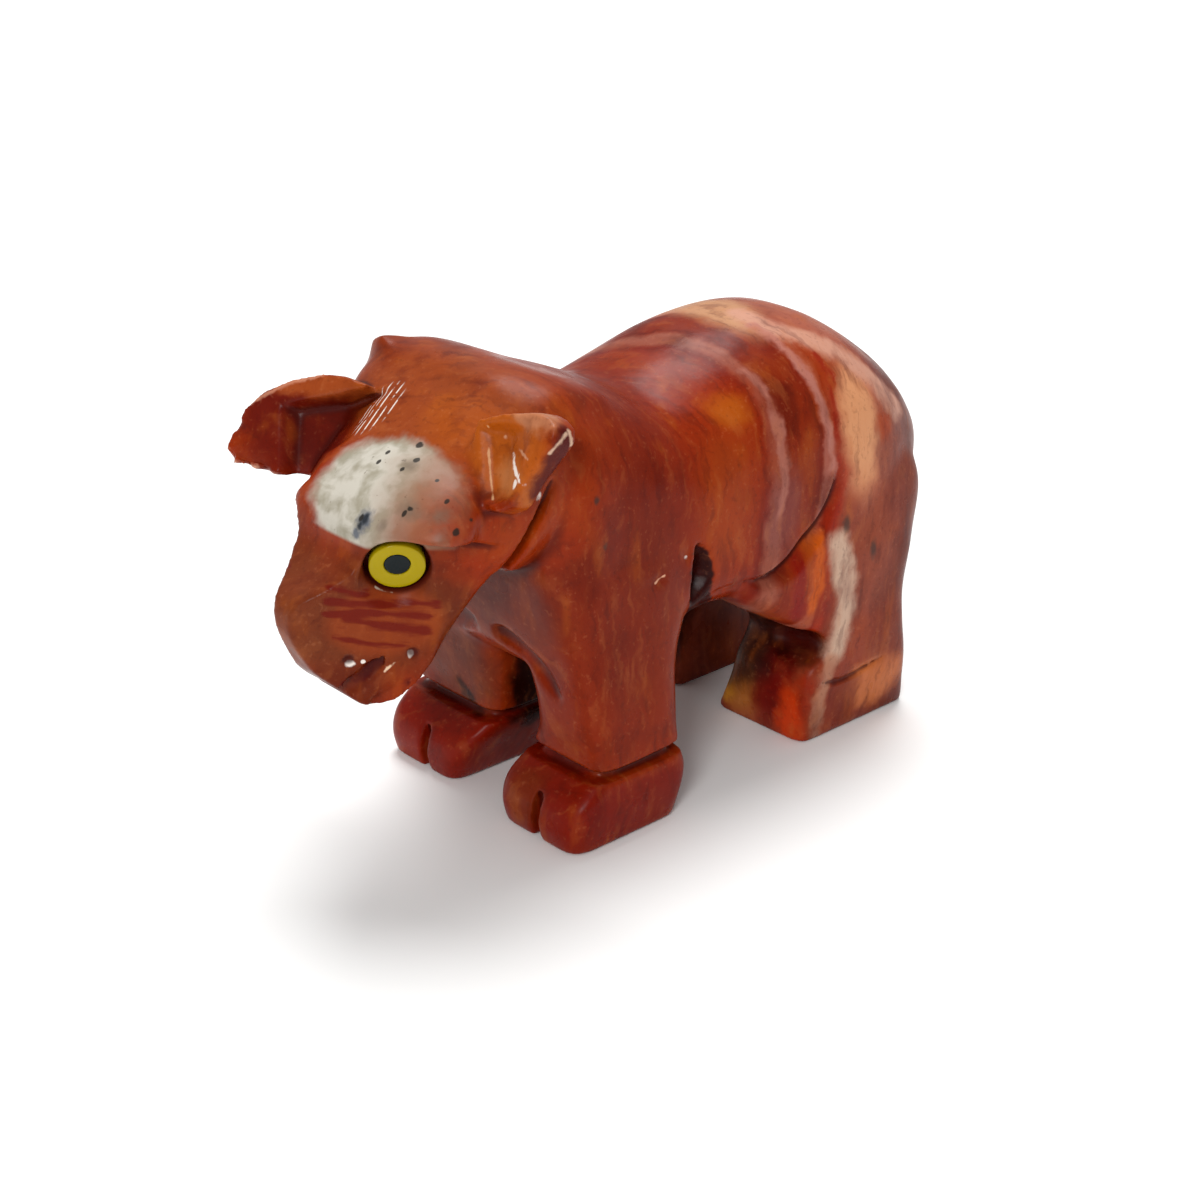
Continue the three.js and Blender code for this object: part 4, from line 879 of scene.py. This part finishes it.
def tint(tree, share, under, over):
    """One colour laid over another by that share."""
    return add(tree, "Mix", {0: share, 6: under, 7: over}, data_type="RGBA").outputs[2]


def ramp(tree, value, low, high, stops):
    """A run of colours, each at its own value between low and high."""
    made = add(tree, "ValToRGB", {"Fac": maths(tree, "DIVIDE", maths(tree, "SUBTRACT", value, low), high - low)})
    run = made.color_ramp.elements
    while len(run) < len(stops):
        run.new(1.0)
    for one, (at, colour) in zip(run, stops):
        one.position = (at - low) / (high - low)
        one.color = linear(colour)
    return made.outputs[0]


def material(name):
    """A new finish, with its nodes and the one for its surface."""
    made = bpy.data.materials.new(name)
    made.use_nodes = True
    return made, made.node_tree, made.node_tree.nodes["Principled BSDF"]


def plain(name, colour, roughness, **more):
    """An even finish."""
    made, tree, surface = material(name)
    surface.inputs["Base Color"].default_value = linear(colour)
    surface.inputs["Roughness"].default_value = roughness
    for word, value in more.items():
        surface.inputs[word.replace("_", " ").title().replace("Ior", "IOR")].default_value = value
    return made


def stain(tree, colour, amount, shade, share):
    """A colour with another laid over it, by an amount from 0 to 1 times a share."""
    return tint(tree, maths(tree, "MULTIPLY", amount, share), colour, linear(shade))


def ragged(tree, value, bumps, reach):
    """A value pushed up and down by a noise of 0 to 1, up to half the reach each way."""
    return maths(tree, "ADD", value, maths(tree, "MULTIPLY", maths(tree, "SUBTRACT", bumps, 0.5), reach))


def push(tree, bumps, reach):
    """A colour noise as a push in three directions, in mm, up to half the reach each way."""
    return spots(tree, "MULTIPLY", spots(tree, "SUBTRACT", bumps, (0.5,) * 3), (reach,) * 3)


def brushed(tree, colour, where, strokes, breaks=None):
    """A colour with strokes laid over it along their paths, broken up by a noise where one is given."""
    for _, shade, half, soft, share, path in strokes:
        near = maths(tree, "DIVIDE", near_path(tree, where, path), half)
        if breaks is not None:
            near = ragged(tree, near, breaks, NICK_BREAKS)
        colour = stain(tree, colour, eased(tree, near, 1 + soft, 1 - soft), shade, share)
    return colour


def distance_along(tree, where, way):
    """How far a spot lies along a direction."""
    return spots(tree, "DOT_PRODUCT", where, tuple(way))


def gathered(tree, *parts):
    """Three values as the x, y and z of a place."""
    return add(tree, "CombineXYZ", enumerate(parts)).outputs[0]


def noise(tree, where, scale, detail, socket):
    """A noise of so many lumps to a millimetre."""
    return add(tree, "TexNoise", {"Vector": where, "Scale": scale, "Detail": detail}).outputs[socket]


def white_patch(tree, colour, spot, moved, frays):
    """The white patch over the brow, in the head's own frame: cut off along the brow's edge, browner to the rear,
    and fading out towards the ear."""
    frayed = spots(tree, "ADD", spot, push(tree, frays, FRAY_REACH))
    head_ways = head_point(0, [1, 0], [0, 1]) - HEAD_ORIGIN
    face = gathered(tree, distance_along(tree, frayed, (1, 0, 0)), *[maths(tree, "SUBTRACT",
        distance_along(tree, frayed, way), float(np.dot(way, HEAD_ORIGIN))) for way in head_ways])
    white = blot(tree, face, WHITE_PATCH["centre"], WHITE_PATCH["radii"], WHITE_PATCH["soft"])
    above = eased(tree, distance_along(tree, spot, (0, 0.12, 1)), *WHITE_PATCH["lower_edge"])
    white = maths(tree, "MULTIPLY", white, above)
    clouded = grain(tree, moved, 1.6, 3.0)
    chalk = tint(tree, eased(tree, clouded, 0.35, 0.65), linear(GREY_CHALK), linear(PALE_CHALK))
    rearward = maths(tree, "ADD", distance_along(tree, frayed, (1, 0.35, 0)),
        maths(tree, "MULTIPLY", clouded, 3.0))
    chalk = stain(tree, chalk, eased(tree, rearward, *WHITE_PATCH["browning"]), *BROWN_CHALK)
    chalk = stain(tree, chalk, eased(tree, grain(tree, spot, 0.5, 2.0), 0.68, 0.76), *CHALK_SPECK)
    fading = maths(tree, "MULTIPLY", eased(tree, distance_along(tree, frayed, (1, 0, 0)), *WHITE_PATCH["fading"]),
        WHITE_PATCH["share"])
    return tint(tree, maths(tree, "MULTIPLY", white, fading), colour, chalk)


def soapstone():
    """Waxed banded soapstone: slanting sheets of red-brown, mauve, pink and cream, with clouded patches, a white one
    on the brow, dark red painted shade in the cuts and between the legs, painted highlights on pits, edges and file
    rows, and a soft polish broken by file marks."""
    made, tree, surface = material("waxed_soapstone")
    seen = add(tree, "TexCoord").outputs["Object"]
    spot = spots(tree, "SUBTRACT", spots(tree, "MULTIPLY", seen, (1000, 1000, 1000)), tuple(shift.tolist()))
    # The grain of the stone drifts, so every boundary wanders.
    frays = noise(tree, spot, 0.75, 3.0, "Color")
    wander = spots(tree, "ADD", push(tree, noise(tree, spot, 0.16, 1.0, "Color"), DRIFT_REACH),
        push(tree, frays, RAGGED_REACH))
    moved = spots(tree, "ADD", spot, wander)
    sheet = maths(tree, "ADD", distance_along(tree, moved, SHEET_WAY), SHEET_START)
    colour = ramp(tree, sheet, *SHEET_RANGE, SHEETS)
    # Clouds of orange and dark red, mostly through the front half.
    clouds = grain(tree, spot, CLOUD_SIZE, 2.5)
    colour = stain(tree, colour, eased(tree, clouds, 0.5, 0.7), *ORANGE_CLOUD)
    colour = stain(tree, colour, eased(tree, clouds, 0.5, 0.32), *DARK_CLOUD)
    for _, shade, centre, radii, soft, share in PATCHES:
        colour = stain(tree, colour, blot(tree, moved, centre, radii, soft), shade, share)
    colour = brushed(tree, colour, moved, STREAKS)
    # Gold and dark red drawn out up and down.
    tall = grain(tree, spot, TALL_GRAIN, 3.0)
    colour = stain(tree, colour, eased(tree, tall, 0.55, 0.75), *GOLD_GRAIN)
    colour = stain(tree, colour, eased(tree, tall, 0.45, 0.27), *RED_GRAIN)
    # Fine streaks along the sheets, and a powder of darker and lighter grains.
    drawn = gathered(tree, maths(tree, "MULTIPLY", sheet, 1.7), distance_along(tree, spot, (0.25, 0.1, 0.2)),
        distance_along(tree, spot, (-0.1, 0.05, 0.3)))
    streaks = noise(tree, drawn, 1.0, 3.0, "Fac")
    colour = stain(tree, colour, eased(tree, streaks, 0.52, 0.75), *PALE_STREAK)
    colour = stain(tree, colour, eased(tree, streaks, 0.48, 0.25), *DARK_STREAK)
    powder = grain(tree, spot, POWDER_SIZE, 2.0)
    colour = stain(tree, colour, eased(tree, powder, 0.58, 0.72), *DARK_POWDER)
    colour = stain(tree, colour, eased(tree, powder, 0.4, 0.26), *PALE_POWDER)
    # Wax deepens every colour of the stone.
    colour = add(tree, "Gamma", {"Color": colour, "Gamma": WAX_DEPTH}).outputs[0]
    colour = white_patch(tree, colour, spot, moved, frays)
    for shade, soft, share, marks in MARKS:
        nearest = None
        for centre, radii in marks:
            far = far_from(tree, spot, centre, radii)
            nearest = far if nearest is None else maths(tree, "MINIMUM", nearest, far)
        nearest = ragged(tree, nearest, powder, MARK_BREAKS)
        colour = stain(tree, colour, eased(tree, nearest, 1 + soft, 1 - soft), shade, share)
    # File marks: broad dark red bands across the cheeks, alike on both, and painted highlights along the file rows up
    # the right ear.
    scored = noise(tree, gathered(tree, maths(tree, "MULTIPLY", distance_along(tree, spot, (0, 0.22, 1)), 2.3),
        distance_along(tree, spot, (0, 0.5, 0)), 3.3), 1.0, 2.0, "Fac")
    mirrored = gathered(tree, maths(tree, "ABSOLUTE", distance_along(tree, spot, (1, 0, 0))),
        distance_along(tree, spot, (0, 1, 0)), distance_along(tree, spot, (0, 0, 1)))
    bands = 0.0
    for half, path in CHEEK_BANDS:
        near = ragged(tree, maths(tree, "DIVIDE", near_path(tree, mirrored, path), half), scored, BAND_BREAKS)
        bands = maths(tree, "MAXIMUM", bands, eased(tree, near, 2.1, 0.3))
    colour = stain(tree, colour, blot(tree, mirrored, *CHEEK_MARKS, 0.2), *FILED_CHEEK)
    colour = stain(tree, colour, bands, *CHEEK_RED)
    rows = maths(tree, "PINGPONG", distance_along(tree, spot, EAR_MARKS["across"]), EAR_MARKS["apart"] / 2)
    rows = maths(tree, "MULTIPLY", eased(tree, rows, EAR_MARKS["apart"] * 0.34, EAR_MARKS["apart"] * 0.46),
        blot(tree, spot, EAR_MARKS["centre"], EAR_MARKS["radii"], 0.15))
    rows = maths(tree, "MULTIPLY", rows, eased(tree, grain(tree, spot, 0.5), 0.36, 0.5))
    colour = stain(tree, colour, rows, *EAR_ROW_HIGHLIGHT)
    # Painted shade: cuts darken by their depth, less in the left ear's lit hollow; a dark ring shades each eye's
    # socket.
    cut = eased(tree, add(tree, "Attribute", attribute_name="hollow").outputs["Fac"], *CUT_SHADE_RISE)
    inside = maths(tree, "SUBTRACT", 0.85, maths(tree, "MULTIPLY", blot(tree, spot, *LIT_EAR_HOLLOW, 0.3), 0.75))
    colour = stain(tree, colour, cut, PAINTED_CUT_SHADE, inside)
    # A ring of painted shade round each eye, in its socket.
    rim = blot(tree, mirrored, EYE_PLACE - 0.3 * EYE_NORMAL, (SOCKET_RADIUS + 0.12,) * 3, 0.06)
    colour = tint(tree, rim, colour, linear(SOCKET_GAP_SHADE))
    colour = brushed(tree, colour, spot, NICKS, powder)
    tree.links.new(colour, surface.inputs["Base Color"])
    # The wax: glossy on the rubbed faces, duller where powder stayed in the pores.
    duller = eased(tree, grain(tree, spot, 2.2, 3.0), 0.35, 0.7)
    dull = maths(tree, "ADD", WAX_ROUGHNESS, maths(tree, "MULTIPLY", duller, WAX_DULLER))
    tree.links.new(dull, surface.inputs["Roughness"])
    surface.inputs["Specular IOR Level"].default_value = WAX_SHEEN
    fine = maths(tree, "ADD", maths(tree, "MULTIPLY", grain(tree, spot, 0.6, 3.0), 0.35),
        maths(tree, "MULTIPLY", streaks, 0.25))
    relief = maths(tree, "SUBTRACT", fine, maths(tree, "MULTIPLY", maths(tree, "ADD", bands, rows), 0.6))
    bump = add(tree, "Bump", {"Height": relief, "Distance": RELIEF_DEPTH * MM, "Strength": 0.6})
    tree.links.new(bump.outputs[0], surface.inputs["Normal"])
    return made


stone = finished(carve_stone())
shaded(stone, soapstone())
place("carved_calf", stone, "soapstone", "stone_body")

# Glassy resin: an olive-yellow sleeve and a blue-black core, domed a little and polished bright.
yellow = plain("yellow_resin", "a08c04", 0.2, specular_ior_level=0.15)
black = plain("blue_black_resin", "12191b", 0.15, specular_ior_level=0.15)
for side, word in ((1, "left"), (-1, "right")):
    sleeve = make_mesh("sleeve", lathe(side, SLEEVE_PROFILE, ring=True))
    put_points(sleeve, (points_of(sleeve) + shift) * MM)
    shaded(sleeve, yellow)
    place("eye_sleeve_" + word, sleeve, "eye_yellow", "eye_" + word)
    core = make_mesh("core", lathe(side, CORE_PROFILE))
    put_points(core, (points_of(core) + shift) * MM)
    shaded(core, black)
    place("eye_core_" + word, core, "eye_black", "pupil_" + word)

# Camera, floor and lights. The camera's place was fitted to the corners of the hooves, in mm.
CAMERA_TURN = math.radians(47.916)
CAMERA_RISE = math.radians(23.670)
CAMERA_DISTANCE = 130.354
CAMERA_TARGET = np.array([4.0317, -9.9943, 14.0])
FOCAL_PIXELS = 1992.47
FRAME_PIXELS = 1200
SENSOR_WIDTH = 36
back = Vector((math.sin(CAMERA_TURN) * math.cos(CAMERA_RISE), -math.cos(CAMERA_TURN) * math.cos(CAMERA_RISE),
    math.sin(CAMERA_RISE)))
lens = bpy.data.cameras.new("camera")
lens.sensor_width = SENSOR_WIDTH
lens.lens = FOCAL_PIXELS / FRAME_PIXELS * SENSOR_WIDTH
lens.clip_start, lens.clip_end = 0.005, 5
camera = bpy.data.objects.new("camera", lens)
bpy.context.scene.collection.objects.link(camera)
camera.location = Vector((CAMERA_TARGET + shift) * MM) + back * CAMERA_DISTANCE * MM
camera.rotation_euler = (-back).to_track_quat("-Z", "Y").to_euler()
bpy.context.scene.camera = camera

floor_mesh = bpy.data.meshes.new("floor")
floor_mesh.from_pydata([(-2, -2, 0), (2, -2, 0), (2, 2, 0), (-2, 2, 0)], [], [(0, 1, 2, 3)])
floor = bpy.data.objects.new("floor", floor_mesh)
bpy.context.scene.collection.objects.link(floor)
table_top, _, table_surface = material("white_table")
table_surface.inputs["Base Color"].default_value = (0.93, 0.93, 0.92, 1)
table_surface.inputs["Roughness"].default_value = 0.6
floor_mesh.materials.append(table_top)

world = bpy.data.worlds.new("room")
world.use_nodes = True
world.node_tree.nodes["Background"].inputs["Color"].default_value = (1, 1, 1, 1)
world.node_tree.nodes["Background"].inputs["Strength"].default_value = 0.45
bpy.context.scene.world = world


def lamp(name, where, size, power, at=(0, 0, 0.014)):
    """A round soft lamp, turned towards the figure. Lengths are in metres and power in watts."""
    data = bpy.data.lights.new(name, "AREA")
    data.shape, data.size, data.energy = "DISK", size, power
    one = bpy.data.objects.new(name, data)
    bpy.context.scene.collection.objects.link(one)
    one.location = where
    one.rotation_euler = (Vector(at) - Vector(where)).to_track_quat("-Z", "Y").to_euler()


lamp("softbox_above", (-0.25, 0.25, 0.8), 0.55, 7.0)
lamp("softbox_front", (0.5, -0.75, 0.55), 0.3, 5.0)
bpy.context.scene.view_settings.view_transform = "Standard"
